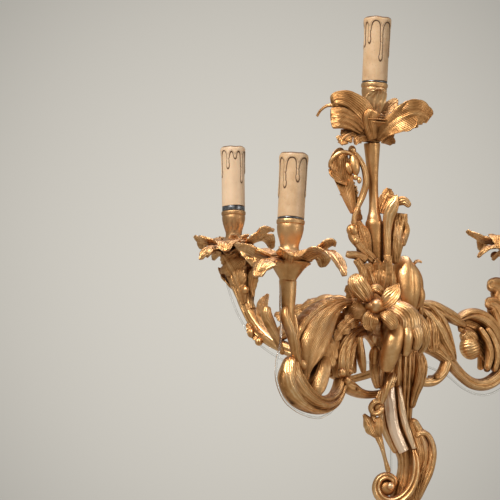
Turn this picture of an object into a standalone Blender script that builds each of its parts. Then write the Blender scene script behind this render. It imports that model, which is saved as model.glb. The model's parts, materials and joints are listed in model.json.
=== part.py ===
"""Rococo gilt-bronze table candelabra, electrified: three side lights and one on top.

Metres, +Z up, standing on Z = 0 with the base centred on the origin. The front of the
candelabra faces -Y. Every separate piece of the real thing is one named object.
"""
import math

import bmesh
import bpy
from mathutils import Matrix, Vector

MM = 0.001
GAP = 0.3  # clearance between pieces that touch, mm
TILT_GAP = 0.9  # clearance under the top calyx, which leans on the stem's end

# Driving dimensions, in mm
BASE_RADIUS = 76.0
BASE_HEIGHT = 104.0
BASE_WALL = 3.5
BASE_LOBES = 3
PAD_THICKNESS = 1.5
COVER_THICKNESS = 1.6
ROD_RADIUS = 5.0
ROD_BORE = 3.4
STEM_TOP = 261.0
HUB_X = -15.0
HUB_TOP = 322.0
UPPER_ROD_RADIUS = 3.0
NIPPLE_RADIUS = 4.0
BORE_CLEARANCE = 0.3
SLEEVE_RADIUS = 13.25
SLEEVE_WALL = 1.4
RIM_HEIGHT = 61.0  # nozzle rim above the joint between arm and calyx
LEAD_RADIUS = 1.4
ROUND = 12  # sides of the turned pieces

# Lights: azimuth about the hub, reach, height of the arm's top, lean to +X and to -Y, sleeve length
LIGHTS = {
    "front": {"azimuth": -131.6, "reach": 160.5, "height": 322.0, "lean": (3.0, 0.5), "sleeve": 65.0,
              "raise": 0.3, "turn": 20.0},
    "left": {"azimuth": 146.9, "reach": 192.0, "height": 364.0, "lean": (-0.8, 0.5), "sleeve": 70.0,
             "raise": 4.0, "turn": 75.0},
    "right": {"azimuth": 28.6, "reach": 178.0, "height": 361.0, "lean": (0.5, 0.5), "sleeve": 68.0,
              "raise": 0.3, "turn": 200.0},
}
STEM_FOOT = Vector((-28.0, -31.0, 342.0))  # where the upper stem leaves the hub
STEM_LEAN = (-1.75, 6.0)
STEM_LENGTH = 133.0
TOP_LEAN = (2.8, 6.0)
TOP_SLEEVE = 68.0

# Arm centrelines in the arm's own plane: distance out from the hub's axis, height, in mm
ARM_PATHS = {
    "front": [(160.5, 322), (160.5, 305), (159.5, 285), (158, 266), (164, 250), (168, 236), (161, 220),
              (141, 208), (117, 203), (97, 209), (85, 226), (83, 246), (78, 263), (64, 273), (47, 275),
              (31, 268), (10, 262)],
    "left": [(192, 364), (191, 350), (186, 333), (175, 309), (157, 287), (134, 271), (108, 259), (84, 256),
             (64, 262), (46, 274), (28, 284), (8, 290)],
    "right": [(178, 361), (177.5, 340), (175.5, 312), (171, 282), (161.5, 255), (146.5, 237), (127, 228),
              (109, 235), (94, 248), (78, 258), (58, 264), (38, 270), (8, 278)],
}
STRUT_PATHS = {
    "front": [(88, 216), (76, 226), (62, 221), (46, 218), (28, 217), (2, 221)],
    "left": [(88, 258), (76, 246), (62, 237), (46, 233), (28, 236), (4, 242)],
    "right": [(80, 258), (70, 246), (60, 236), (48, 231), (34, 233), (-2, 240)],
}
# Big acanthus leaf over each arm: the run of its midrib
LEAF_PATHS = {
    "front": [(48, 296), (64, 304), (90, 305), (120, 298), (140, 284), (146, 266), (142, 248), (134, 234)],
    "left": [(30, 304), (54, 314), (84, 312), (112, 303), (134, 292), (150, 296)],
    "right": [(26, 304), (44, 312), (66, 307), (88, 297), (104, 288), (114, 276), (110, 262)],
}
# Leads on the outside of each arm: distance out, height, distance to the side of the arm's plane
LEAD_ROUTES = {
    "front": [(171.5, 320, 0), (171.6, 300, 0), (170.5, 280, 0), (172, 262, 0), (177.5, 245, 0),
              (177, 226, 0), (165, 208, 0), (143, 197, 0), (117, 192, 0), (96, 196, 3), (78, 203, 8),
              (60, 217, 12), (46, 222, 16), (34, 222, 22)],
    "left": [(203, 361, 0), (202, 345, 0), (195, 325, 0), (184, 303, 0), (165, 279, 0), (139, 261, 0),
             (110, 248.5, 0), (92, 244, 5), (76, 240, 10), (56, 246, 13), (40, 250, 16), (24, 250, 20)],
    "right": [(189.5, 358, 0), (189, 338, 0), (186.8, 310, 0), (182, 279, 0), (171.6, 247, 0),
              (153.6, 226.5, 0), (127, 217, 0), (104, 223, 4), (84, 238, 9), (64, 246, 12), (46, 252, 16),
              (30, 250, 20)],
}
LEAD_SIDE = {"front": -1.0, "left": -1.0, "right": 1.0}
# Where each lead runs down behind the stem: X, Y and the height it starts at
LEAD_DROP = {"front": (-9.0, 25.0, 208.0), "left": (-1.0, 27.0, 232.0), "right": (8.0, 24.0, 232.0)}
LEAD_END = 86.0

COLOURS = {
    "gilt": ((0.60, 0.40, 0.19, 1.0), 0.34, 1.0),
    "brass": ((0.66, 0.52, 0.30, 1.0), 0.32, 1.0),
    "steel": ((0.45, 0.46, 0.48, 1.0), 0.35, 1.0),
    "ivory": ((0.80, 0.66, 0.44, 1.0), 0.45, 0.0),
    "black": ((0.03, 0.03, 0.03, 1.0), 0.45, 0.0),
    "felt": ((0.05, 0.16, 0.09, 1.0), 0.95, 0.0),
    "flex": ((0.75, 0.76, 0.76, 1.0), 0.15, 0.0),
}


# ---------------------------------------------------------------- helpers

def material(slot):
    """The material of one finish, made once."""
    found = bpy.data.materials.get(slot)
    if found:
        return found
    colour, roughness, metallic = COLOURS[slot]
    made = bpy.data.materials.new(slot)
    made.use_nodes = True
    shader = made.node_tree.nodes["Principled BSDF"]
    shader.inputs["Base Color"].default_value = colour
    shader.inputs["Roughness"].default_value = roughness
    shader.inputs["Metallic"].default_value = metallic
    return made


def add_object(name, mesh_data, slot, matrix=None):
    """Put a mesh in the scene as a named piece with its finish."""
    mesh_data.materials.clear()
    mesh_data.materials.append(material(slot))
    mesh_data.shade_smooth()
    mesh_data.set_sharp_from_angle(angle=math.radians(38))
    piece = bpy.data.objects.new(name, mesh_data)
    bpy.context.collection.objects.link(piece)
    if matrix is not None:
        piece.matrix_world = matrix
    return piece


def mesh_from_rings(name, rings, closed_loop=False):
    """Skin equal rings of points (mm) into one closed solid, capped unless the rings close on themselves."""
    work = bmesh.new()
    rows = [[work.verts.new(Vector(point) * MM) for point in ring] for ring in rings]
    count = len(rows[0])
    pairs = list(zip(rows, rows[1:]))
    if closed_loop:
        pairs.append((rows[-1], rows[0]))
    for low, high in pairs:
        for i in range(count):
            j = (i + 1) % count
            work.faces.new((low[i], low[j], high[j], high[i]))
    if not closed_loop:
        work.faces.new(list(reversed(rows[0])))
        work.faces.new(rows[-1])
    bmesh.ops.recalc_face_normals(work, faces=work.faces)
    data = bpy.data.meshes.new(name)
    work.to_mesh(data)
    work.free()
    return data


def turned(name, profile, sides=ROUND, lobes=None):
    """Turn a closed profile of (radius, height) points around Z; lobes(angle, height) scales the radius."""
    rings = []
    for step in range(sides):
        angle = 2 * math.pi * step / sides
        ring = []
        for radius, height in profile:
            grown = radius * (lobes(angle, height, radius) if lobes else 1.0)
            ring.append((grown * math.cos(angle), grown * math.sin(angle), height))
        rings.append(ring)
    return mesh_from_rings(name, rings, closed_loop=True)


def turned_solid(name, profile, sides=ROUND):
    """Turn an open profile, bottom to top, into a solid with flat ends."""
    angles = [2 * math.pi * step / sides for step in range(sides)]
    rings = [[(radius * math.cos(angle), radius * math.sin(angle), height) for angle in angles]
             for radius, height in profile]
    return mesh_from_rings(name, rings)


def smooth_path(points, per_span=3):
    """Points of a Catmull-Rom curve through the given ones."""
    points = [Vector(point) for point in points]
    padded = [2 * points[0] - points[1]] + points + [2 * points[-1] - points[-2]]
    result = []
    for before, start, end, after in zip(padded, padded[1:], padded[2:], padded[3:]):
        for step in range(per_span):
            t = step / per_span
            result.append(0.5 * (2 * start + (end - before) * t
                                 + (2 * before - 5 * start + 4 * end - after) * t * t
                                 + (3 * start - before - 3 * end + after) * t ** 3))
    result.append(points[-1])
    return result


def tangents(path):
    """Unit direction of travel at every point of a path."""
    last = len(path) - 1
    return [(path[min(i + 1, last)] - path[max(i - 1, 0)]).normalized() for i in range(len(path))]


def read_along(values, s):
    """A number read at s, from 0 to 1, along a list of evenly spaced ones."""
    place = s * (len(values) - 1)
    i = min(int(place), len(values) - 2)
    return values[i] + (values[i + 1] - values[i]) * (place - i)


def swept(name, path, size, side_hint, sides=8):
    """Sweep an oval along a path; size(s) gives its half width sideways and half depth."""
    rings = []
    last = len(path) - 1
    for i, (point, along) in enumerate(zip(path, tangents(path))):
        side = (side_hint - along * side_hint.dot(along)).normalized()
        depth = along.cross(side)
        wide, deep = size(i / last)
        rings.append([point + side * (wide * math.cos(2 * math.pi * k / sides))
                      + depth * (deep * math.sin(2 * math.pi * k / sides)) for k in range(sides)])
    return mesh_from_rings(name, rings)


def leaf(name, path, width, side_hint, cup=0.25, thickness=2.4, lobes=4, across=4):
    """A thick leaf: midrib along the path, lobed edges, hollowed or humped across by cup."""
    last = len(path) - 1
    rings = []
    for i, (point, along) in enumerate(zip(path, tangents(path))):
        s = i / last
        side = (side_hint - along * side_hint.dot(along)).normalized()
        normal = side.cross(along)
        half = width * (math.sin(math.pi * min(1.0, 0.12 + 0.86 * s)) ** 0.7)
        half *= 1.0 + 0.14 * math.cos(2 * math.pi * lobes * s)
        half = max(half, 2.0)
        upper, lower = [], []
        for k in range(across + 1):
            t = 2 * k / across - 1
            thin = 0.5 * thickness * (1.0 - 0.45 * abs(t))
            centre = point + side * (half * t) - normal * (cup * half * t * t)
            upper.append(centre + normal * thin)
            lower.append(centre - normal * thin)
        rings.append(upper + list(reversed(lower)))
    return mesh_from_rings(name, rings)


def temporary(data, matrix=None):
    """A helper object that takes part in a Boolean and is removed afterwards."""
    helper = bpy.data.objects.new("helper", data)
    bpy.context.collection.objects.link(helper)
    if matrix is not None:
        helper.matrix_world = matrix
    return helper


def combined(name, first, others, operation="UNION"):
    """The mesh of one solid united with, or cut by, others. Each is a mesh or a (mesh, matrix) pair."""
    def as_helper(item):
        return temporary(*item) if isinstance(item, tuple) else temporary(item)
    body = as_helper(first)
    helpers = [as_helper(item) for item in others]
    for helper in helpers:
        step = body.modifiers.new("step", "BOOLEAN")
        step.operation = operation
        step.solver = "EXACT"
        step.object = helper
    bpy.context.view_layer.update()
    graph = bpy.context.evaluated_depsgraph_get()
    data = bpy.data.meshes.new_from_object(body.evaluated_get(graph))
    data.transform(body.matrix_world)
    data.name = name
    for helper in helpers + [body]:
        bpy.data.objects.remove(helper)
    return data


def arm_matrix(key):
    """Arm frame: +X outward along the arm, origin under the hub's axis."""
    return (Matrix.Translation(Vector((HUB_X, 0, 0)) * MM)
            @ Matrix.Rotation(math.radians(LIGHTS[key]["azimuth"]), 4, "Z"))


def lean_matrix(lean):
    """Tilt of a light: degrees towards +X, then degrees towards -Y."""
    return Matrix.Rotation(math.radians(lean[0]), 4, "Y") @ Matrix.Rotation(math.radians(lean[1]), 4, "X")


def light_matrix(key):
    """Light frame: origin on the joint between arm and calyx, +Z along the candle."""
    if key == "top":
        foot = stem_matrix() @ Vector((0, 0, (STEM_LENGTH + TILT_GAP) * MM))
        return Matrix.Translation(foot) @ lean_matrix(TOP_LEAN)
    light = LIGHTS[key]
    angle = math.radians(light["azimuth"])
    place = Vector((HUB_X + light["reach"] * math.cos(angle), light["reach"] * math.sin(angle),
                    light["height"] + GAP)) * MM
    return Matrix.Translation(place) @ lean_matrix(light["lean"])


def stem_matrix():
    """Upper stem frame: origin at its foot, +Z along it."""
    return Matrix.Translation(STEM_FOOT * MM) @ lean_matrix(STEM_LEAN)


def bore(radius, low, high, sides=ROUND):
    """A round cutter along Z."""
    return turned_solid("cutter", [(radius, low), (radius, high)], sides)


# ---------------------------------------------------------------- base

def base_lobing(angle, height, radius):
    """Three feet pushed out of the base's plan, fading upwards and towards the middle."""
    fade = max(0.0, 1.0 - height / 70.0) * min(1.0, radius / 40.0)
    return 1.0 + 0.11 * fade * math.cos(BASE_LOBES * (angle + math.pi / 2))


def make_base():
    bottom = PAD_THICKNESS + GAP
    outer = [(BASE_RADIUS - 2, bottom), (BASE_RADIUS, bottom + 5), (BASE_RADIUS - 4, 15), (BASE_RADIUS - 9, 20),
             (56, 32), (42, 48), (33, 64), (25, 78), (20, 88), (18.5, 96), (20, BASE_HEIGHT)]
    bore_radius = ROD_RADIUS + BORE_CLEARANCE
    inner = [(bore_radius, BASE_HEIGHT), (bore_radius, 92), (14, 90), (20, 80), (29, 64), (38, 46), (52, 30),
             (BASE_RADIUS - 12.5, 18), (BASE_RADIUS - 8, 11), (BASE_RADIUS - 7, bottom)]
    shell = turned("base_casting", outer + inner, sides=27, lobes=base_lobing)
    gland_place = gland_matrix()
    hole = (bore(4.7 + GAP, -14, 14, 12), gland_place)
    lead_hole = (bore(3 * LEAD_RADIUS + 9, -16, 16, 14), Matrix.Translation(Vector((0, 25, 84)) * MM))
    cut = combined("base_casting", shell, [hole, lead_hole], "DIFFERENCE")
    add_object("base_casting", cut, "gilt")

    cover_radius = BASE_RADIUS - 9.5
    cover_top = bottom + COVER_THICKNESS
    cover = turned("base_cover", [(ROD_RADIUS, bottom), (cover_radius, bottom), (cover_radius, cover_top),
                                  (ROD_RADIUS, cover_top)], 24, base_lobing)
    add_object("base_cover", cover, "steel")
    pad = turned_solid("felt_pad", [(BASE_RADIUS - 8, 0), (BASE_RADIUS - 8, PAD_THICKNESS)], 24)
    add_object("felt_pad", pad, "felt")

    gland = turned("cable_gland", [(2.8, -6), (4.7, -6), (4.7, 3.4), (7.0, 3.4), (6.4, 7.5), (4.2, 9.5),
                                   (2.8, 9.5)])
    add_object("cable_gland", gland, "brass", gland_place)


def gland_matrix():
    """The mains lead's inlet, low at the back of the base."""
    return (Matrix.Translation(Vector((0, BASE_RADIUS - 10.4, 12)) * MM)
            @ Matrix.Rotation(math.radians(-90), 4, "X"))


# ---------------------------------------------------------------- stem and hub

def make_rods():
    rod = turned("lower_rod", [(ROD_BORE, 76), (ROD_RADIUS, 76), (ROD_RADIUS, 284), (ROD_BORE, 284)], 14)
    add_object("lower_rod", rod, "steel")
    washer_bore = ROD_RADIUS + 0.4
    washer = turned("rod_washer", [(washer_bore, 88), (12, 88), (12, 89.7), (washer_bore, 89.7)], 14)
    add_object("rod_washer", washer, "steel")
    nut = turned_solid("rod_nut", [(8.6, 80.5), (9.2, 81.5), (9.2, 86.7), (8.6, 87.7)], 6)
    nut = combined("rod_nut", nut, [bore(ROD_RADIUS + BORE_CLEARANCE, 75, 90, 14)], "DIFFERENCE")
    add_object("rod_nut", nut, "brass")
    upper = turned("upper_rod", [(1.9, -26), (UPPER_ROD_RADIUS, -26), (UPPER_ROD_RADIUS, STEM_LENGTH - 4),
                                 (1.9, STEM_LENGTH - 4)], 12)
    add_object("upper_rod", upper, "steel", stem_matrix())


def lower_stem_body(grow=0.0):
    """Fluted S of the stem: it sways from side to side, and swells and narrows."""
    path = smooth_path([(3, 0, BASE_HEIGHT - 4), (10, 0, 118), (17, 0, 138), (16, 0, 156), (5, 0, 172),
                        (0, 0, 190), (0, 0, 208), (3, 0, 226), (3, 0, 244), (0, 0, STEM_TOP + 4)], 2)
    widths = [15, 15, 16, 16, 16, 16, 17, 18.5, 19, 16]

    def size(s):
        wide = read_along(widths, s)
        return wide + grow, 0.86 * wide + grow
    return swept("lower_stem", path, size, Vector((1, 0, 0)), sides=12)


def scroll_path():
    """C-scroll on the right of the stem, from its waist down to a volute at the lower left."""
    return smooth_path([(6, 0, 184), (22, -2, 181), (34, -3, 170), (38, -4, 154), (34, -5, 136), (24, -8, 118),
                        (8, -14, 109), (-10, -16, 110), (-22, -16, 120), (-20, -16, 131), (-10, -16, 131)], 2)


def make_lower_stem():
    column = lower_stem_body()
    scroll = swept("scroll", scroll_path(), lambda s: (7.5 - 2.5 * s, 6.5 - 1.5 * s), Vector((0, 1, 0)), 8)
    solid = combined("lower_stem", column, [scroll])
    floor = turned_solid("cutter", [(80, BASE_HEIGHT - 12), (80, BASE_HEIGHT + GAP)], 24)
    ceiling = turned_solid("cutter", [(80, STEM_TOP), (80, STEM_TOP + 20)], 24)
    rod_hole = bore(ROD_RADIUS + BORE_CLEARANCE, 90, 290, 14)
    solid = combined("lower_stem", solid, [floor, ceiling, rod_hole], "DIFFERENCE")
    add_object("lower_stem", solid, "gilt")


def hub_body(grow=0.0):
    """Lump that the arms meet on, wider than deep."""
    profile = [(15, STEM_TOP + GAP), (20, 266), (24, 276), (25, 290), (24, 303), (20, 314), (15, HUB_TOP)]
    profile = [(radius + grow, height) for radius, height in profile]
    profile[0] = (profile[0][0], profile[0][1] - grow)
    profile[-1] = (profile[-1][0], profile[-1][1] + grow)
    return turned_solid("hub", profile, 16)


def hub_matrix():
    return Matrix.Translation(Vector((HUB_X + 4, -5, 0)) * MM)


def stem_socket(grow=0.0):
    """Boss on the front left of the hub that carries the upper stem."""
    profile = [(14 + grow, 296 - grow), (13 + grow, 318), (11.5 + grow, STEM_FOOT.z - GAP)]
    return turned_solid("socket", profile, 14)


def socket_matrix():
    return Matrix.Translation(Vector((STEM_FOOT.x, STEM_FOOT.y + 2.0, 0)) * MM)


def rosette_matrix():
    """The flower faces forwards and a little up."""
    return (Matrix.Translation(Vector((-26, -51.5, 306)) * MM) @ Matrix.Rotation(math.radians(82), 4, "X"))


def make_hub():
    body = combined("hub_casting", (hub_body(), hub_matrix()), [(stem_socket(), socket_matrix())])
    cutters = [bore(ROD_RADIUS + BORE_CLEARANCE, 240, 286, 14),
               (bore(UPPER_ROD_RADIUS + BORE_CLEARANCE, -28, 40, 12), stem_matrix()),
               (turned_solid("cutter", [(30, -GAP), (30, 40)], 12), stem_matrix())]
    body = combined("hub_casting", body, cutters, "DIFFERENCE")
    add_object("hub_casting", body, "gilt")

    add_object("rosette", flower("rosette", 5, 24.0, 7.5), "gilt", rosette_matrix())
    bud = turned_solid("lobed_bud", [(6, 0), (12, 4), (17, 14), (17.5, 24), (13, 35), (6, 42), (2, 46)], 12)
    bud_place = Matrix.Translation(Vector((8, -6, HUB_TOP - 12)) * MM)
    bud = combined("lobed_bud", (bud, bud_place), [(hub_body(GAP), hub_matrix())], "DIFFERENCE")
    add_object("lobed_bud", bud, "gilt")


def flower(name, petals, radius, depth):
    """Open flower: a lobed dish with a round knob in the middle, facing +Z."""
    rings = []
    steps = petals * 4
    for scale, height in [(0.16, -depth), (0.55, -0.5 * depth), (0.98, 2.5), (1.0, 4.5), (0.62, 2.0),
                          (0.36, 0.5), (0.33, 6.0), (0.22, 9.5), (0.08, 10.8)]:
        ring = []
        for step in range(steps):
            angle = 2 * math.pi * step / steps
            lobe = 1.0 + 0.16 * scale * math.cos(petals * angle)
            reach = radius * scale * lobe
            ring.append((reach * math.cos(angle), reach * math.sin(angle), height))
        rings.append(ring)
    return mesh_from_rings(name, rings)


def make_upper_stem():
    bored = UPPER_ROD_RADIUS + BORE_CLEARANCE
    outer = [(8.6, 0), (8.2, 6), (7.6, 40), (7.8, 48), (8.4, 50), (8.4, 53), (6.4, 55), (6.4, 61), (5.2, 64),
             (5.0, 72), (5.6, 90), (7.2, 112), (8.8, 128), (8.8, STEM_LENGTH)]
    tube = turned("upper_stem", [(bored, STEM_LENGTH), (bored, 0)] + outer, 16)
    add_object("upper_stem", tube, "gilt", stem_matrix())


def make_applied_leaves():
    """Leaves and the tendril that are cast apart and fixed to the stem."""
    left_path = smooth_path([(-35, -38, 366), (-41, -44, 388), (-48, -50, 412), (-62, -54, 434), (-74, -56, 452),
                             (-70, -58, 466), (-58, -58, 468)], 2)
    left = leaf("stem_leaf_left", left_path, 15, Vector((0.3, 0.9, 0.2)), cup=0.35, lobes=5)
    place_clear_of_stem("stem_leaf_left", left)
    right_path = smooth_path([(-19, -38, 352), (-13, -42, 372), (-8, -46, 392), (-10, -48, 410), (-14, -48, 424)], 2)
    right = leaf("stem_leaf_right", right_path, 9, Vector((0.85, -0.3, 0.1)), cup=0.3, lobes=3)
    place_clear_of_stem("stem_leaf_right", right)
    drape_path = smooth_path([(-24, -40, 282), (-14, -36, 279), (-2, -33, 272), (4, -31, 258), (0, -29, 243)], 2)
    drape = leaf("leaf_drape", drape_path, 17, Vector((0.8, 0.1, -0.55)), cup=0.15, lobes=3, thickness=3.0)
    drape = combined("leaf_drape", drape, [(hub_body(GAP), hub_matrix())], "DIFFERENCE")
    add_object("leaf_drape", largest_body(drape), "gilt")
    tendril_path = smooth_path([(-10, -25, 226), (-26, -28, 218), (-32, -29, 206), (-24, -28, 198), (-34, -29, 186),
                                (-33, -28, 172), (-24, -27, 150), (-18, -26, 138)], 2)
    widths = [2.0, 3.2, 2.6, 3.0, 6.0, 6.5, 2.2, 2.0]

    def size(s):
        wide = read_along(widths, s)
        return wide, 0.5 * wide + 0.6
    tendril = swept("tendril", tendril_path, size, Vector((0.6, 0.4, 0.6)), 8)
    add_object("tendril", tendril, "gilt")


def place_clear_of_stem(name, data):
    """Cut a leaf back from the stem it is fixed to, and keep the larger side."""
    keep_out = turned_solid("cutter", [(9.2, -2), (9.2, 48), (8.9, 56), (7.0, 64), (9.3, 134)], 16)
    cut = combined(name, data, [(keep_out, stem_matrix())], "DIFFERENCE")
    add_object(name, cut, "gilt")


# ---------------------------------------------------------------- arms

def arm_points(pairs, per_span=2):
    return smooth_path([(out, 0, height) for out, height in pairs], per_span)


def make_arm(key):
    """One arm: fluted main scroll, strut and acanthus leaf cast in one, cut to sit on hub and stem."""
    across = Vector((0, 1, 0))
    main = swept("main", arm_points(ARM_PATHS[key]), lambda s: (7.6 + 2.0 * math.sin(math.pi * s), 7.4), across, 8)
    strut = swept("strut", arm_points(STRUT_PATHS[key]), lambda s: (5.2, 5.4), across, 8)
    blade = leaf("blade", arm_points(LEAF_PATHS[key]), 19, across, cup=0.3, lobes=4, thickness=3.2)
    root_out, root_up = LEAF_PATHS[key][1]
    join_out, join_up = ARM_PATHS[key][-3]
    root = swept("root", [Vector((root_out, 0, root_up)), Vector((join_out + 4, 0, 0.5 * (root_up + join_up))),
                          Vector((join_out, 0, join_up))], lambda s: (7, 6), across, 8)
    frame = arm_matrix(key)
    solid = combined("arm", (main, frame), [(strut, frame), (blade, frame), (root, frame)])
    inverse_light = light_matrix(key)
    rosette_room = turned_solid("cutter", [(28.5, -8), (28.5, 14)], 14)
    cutters = [(hub_body(GAP), hub_matrix()), (stem_socket(GAP), socket_matrix()), lower_stem_body(GAP),
               (rosette_room, rosette_matrix()),
               (turned_solid("cutter", [(40, -GAP), (40, 60)], 12), inverse_light),
               (bore(NIPPLE_RADIUS + BORE_CLEARANCE, -13, 5, 12), inverse_light),
               screw_clearance(key)]
    solid = combined("arm_" + key, solid, cutters, "DIFFERENCE")
    solid = largest_body(solid)
    add_object("arm_" + key, solid, "gilt")
    screw = turned_solid("arm_screw_" + key, [(1.7, -14), (1.7, 0), (3.4, 0.1), (3.6, 1.6), (2.2, 2.6)], 10)
    add_object("arm_screw_" + key, screw, "steel", screw_matrix(key))


def screw_matrix(key):
    """Fixing screw through the strut, level and across it, near the stem."""
    out, height = STRUT_PATHS[key][2]
    return arm_matrix(key) @ Matrix.Translation(Vector((out, -5.2, height)) * MM) @ Matrix.Rotation(
        math.radians(90), 4, "X")


def screw_clearance(key):
    cutter = turned_solid("cutter", [(2.0, -30), (2.0, -GAP), (3.9, -GAP), (3.9, 12)], 10)
    return cutter, screw_matrix(key)


def largest_body(data):
    """Drop the offcuts that a cut leaves on the far side of the hub."""
    work = bmesh.new()
    work.from_mesh(data)
    seen, groups = set(), []
    for start in work.verts:
        if start in seen:
            continue
        group, queue = [], [start]
        seen.add(start)
        while queue:
            vert = queue.pop()
            group.append(vert)
            for edge in vert.link_edges:
                other = edge.other_vert(vert)
                if other not in seen:
                    seen.add(other)
                    queue.append(other)
        groups.append(group)
    groups.sort(key=len)
    loose = [vert for group in groups[:-1] for vert in group]
    bmesh.ops.delete(work, geom=loose, context="VERTS")
    work.to_mesh(data)
    work.free()
    return data


def make_lead(key):
    """Clear flex from the light down the outside of the arm and down the back of the stem to the base."""
    frame = arm_matrix(key)
    side = LEAD_SIDE[key]
    outer = [frame @ (Vector((out, side * off, height)) * MM) / MM for out, height, off in LEAD_ROUTES[key]]
    drop_x, drop_y, drop_from = LEAD_DROP[key]
    down = [Vector((drop_x, drop_y, drop_from + (LEAD_END - drop_from) * step / 5)) for step in range(6)]
    path = smooth_path(outer + down, 2)
    curve = bpy.data.curves.new("lead_" + key, "CURVE")
    curve.dimensions = "3D"
    curve.bevel_depth = LEAD_RADIUS * MM
    curve.bevel_resolution = 1
    curve.use_fill_caps = True
    spline = curve.splines.new("POLY")
    spline.points.add(len(path) - 1)
    for point, place in zip(spline.points, path):
        point.co = (*(place * MM), 1.0)
    curve.materials.append(material("flex"))
    piece = bpy.data.objects.new("lead_" + key, curve)
    bpy.context.collection.objects.link(piece)


def make_top_lead():
    lead = turned_solid("lead_top", [(LEAD_RADIUS, -24), (LEAD_RADIUS, STEM_LENGTH - 6)], 8)
    add_object("lead_top", lead, "flex", stem_matrix())


# ---------------------------------------------------------------- lights

def pan_lobing(petals, turn):
    def scale(angle, height, radius):
        depth = max(0.0, (radius - 22) / 28.0)
        return 1.0 + depth * (0.13 * math.cos(petals * (angle - turn)) + 0.06 * math.cos(2 * (angle - turn)))
    return scale


def make_light(key):
    """Everything above an arm's end: calyx, pan, nozzle, collar, lampholder, its shell and the sleeve."""
    place = light_matrix(key)
    light = LIGHTS.get(key, {"sleeve": TOP_SLEEVE, "raise": 0.3, "turn": 130.0})
    hole = NIPPLE_RADIUS + BORE_CLEARANCE
    calyx = turned("calyx_" + key, [(hole, 0), (8.3, 0), (7.6, 2), (9, 6), (13, 12), (17, 17.5), (20, 20),
                                    (hole, 20)], 14)
    add_object("calyx_" + key, calyx, "gilt", place)

    turn = math.radians(light["turn"])
    pan = turned("pan_" + key, [(hole, 20.3), (18, 20.3), (30, 19), (42, 21), (51, 31), (47, 29),
                                (36, 22.5), (17, 23.3), (hole, 23.3)], 20, pan_lobing(5, turn))
    add_object("pan_" + key, pan, "gilt", place)

    nozzle = turned("nozzle_" + key, [
        (hole, 23.6), (14, 23.6), (14, 26), (11, 30), (9.3, 36), (11, 42), (12.6, 50), (12.7, 54), (13.65, 56),
        (13.65, 60), (13.1, RIM_HEIGHT), (11.9, RIM_HEIGHT), (11.9, 46), (hole, 42)])
    add_object("nozzle_" + key, nozzle, "brass", place)

    lift = light["raise"]
    collar_top = RIM_HEIGHT + 5 + lift
    collar = [(10.6, 46.5), (11.55, 46.5), (11.55, collar_top), (10.6, collar_top)]
    if lift > 1:
        collar[2:2] = [(11.55, RIM_HEIGHT + GAP), (12.9, RIM_HEIGHT + GAP), (12.9, RIM_HEIGHT + lift - GAP),
                       (11.55, RIM_HEIGHT + lift - GAP)]
    add_object("seat_ring_" + key, turned("seat_ring_" + key, collar), "steel", place)

    top = RIM_HEIGHT + lift + light["sleeve"]
    holder = turned("lampholder_" + key, [
        (hole, 46.5), (10.2, 46.5), (10.2, 49), (6.4, 50.5), (6.4, top - 46), (11.1, top - 40), (11.1, top - 6),
        (9.2, top - 6), (9.2, top - 34), (hole, top - 34)])
    add_object("lampholder_" + key, holder, "black", place)
    shell = turned("socket_shell_" + key, [(3, top - 33.7), (8.9, top - 33.7), (8.9, top - 7), (7.9, top - 7),
                                           (7.9, top - 32.7), (3, top - 32.7)])
    add_object("socket_shell_" + key, shell, "brass", place)

    low = RIM_HEIGHT + lift
    inner = SLEEVE_RADIUS - SLEEVE_WALL
    sleeve = turned("candle_sleeve_" + key, [
        (inner, low), (SLEEVE_RADIUS, low), (SLEEVE_RADIUS, low + 20), (13.5, top - 26), (14.3, top - 9),
        (14.6, top - 5), (14.1, top - 1.6), (13.1, top), (12.2, top - 0.6), (inner, top - 3)])
    add_object("candle_sleeve_" + key, sleeve, "ivory", place)

    if key != "top":
        nipple = turned("nipple_" + key, [(2.4, -12), (NIPPLE_RADIUS, -12), (NIPPLE_RADIUS, 60), (2.4, 60)], 12)
        add_object("nipple_" + key, nipple, "steel", place)


def main():
    for piece in list(bpy.data.objects):
        bpy.data.objects.remove(piece)
    make_base()
    make_rods()
    make_lower_stem()
    make_hub()
    make_upper_stem()
    make_applied_leaves()
    for key in LIGHTS:
        make_arm(key)
        make_lead(key)
        make_light(key)
    make_light("top")
    make_top_lead()


main()
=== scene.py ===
"""Gilt-bronze rococo table candelabra: the looks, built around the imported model.

Lengths are in millimetres until a mesh is made. Arms are drawn in their own frames: X out from
the hub's axis, Y to the side, Z up. Lights are drawn with Z along the candle, from the joint
between the arm and the calyx.
"""
import json
import math

import bpy
import numpy as np
from mathutils import Matrix, Vector


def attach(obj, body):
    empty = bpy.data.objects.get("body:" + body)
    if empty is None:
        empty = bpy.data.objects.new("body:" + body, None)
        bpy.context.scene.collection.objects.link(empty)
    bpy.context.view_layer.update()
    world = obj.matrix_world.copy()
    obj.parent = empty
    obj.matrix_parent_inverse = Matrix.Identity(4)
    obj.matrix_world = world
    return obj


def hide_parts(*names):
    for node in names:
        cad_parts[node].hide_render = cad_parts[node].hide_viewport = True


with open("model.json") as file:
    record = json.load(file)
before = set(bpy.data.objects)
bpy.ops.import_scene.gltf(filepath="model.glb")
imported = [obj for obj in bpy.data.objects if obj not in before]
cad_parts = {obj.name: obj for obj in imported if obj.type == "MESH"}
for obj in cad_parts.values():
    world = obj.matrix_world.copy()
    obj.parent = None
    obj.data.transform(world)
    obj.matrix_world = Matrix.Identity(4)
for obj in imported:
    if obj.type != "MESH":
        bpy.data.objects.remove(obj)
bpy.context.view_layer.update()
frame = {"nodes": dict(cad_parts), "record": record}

MM = 0.001
TAU = 2 * math.pi
FINE = 1.0  # mesh density of the ornament

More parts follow.
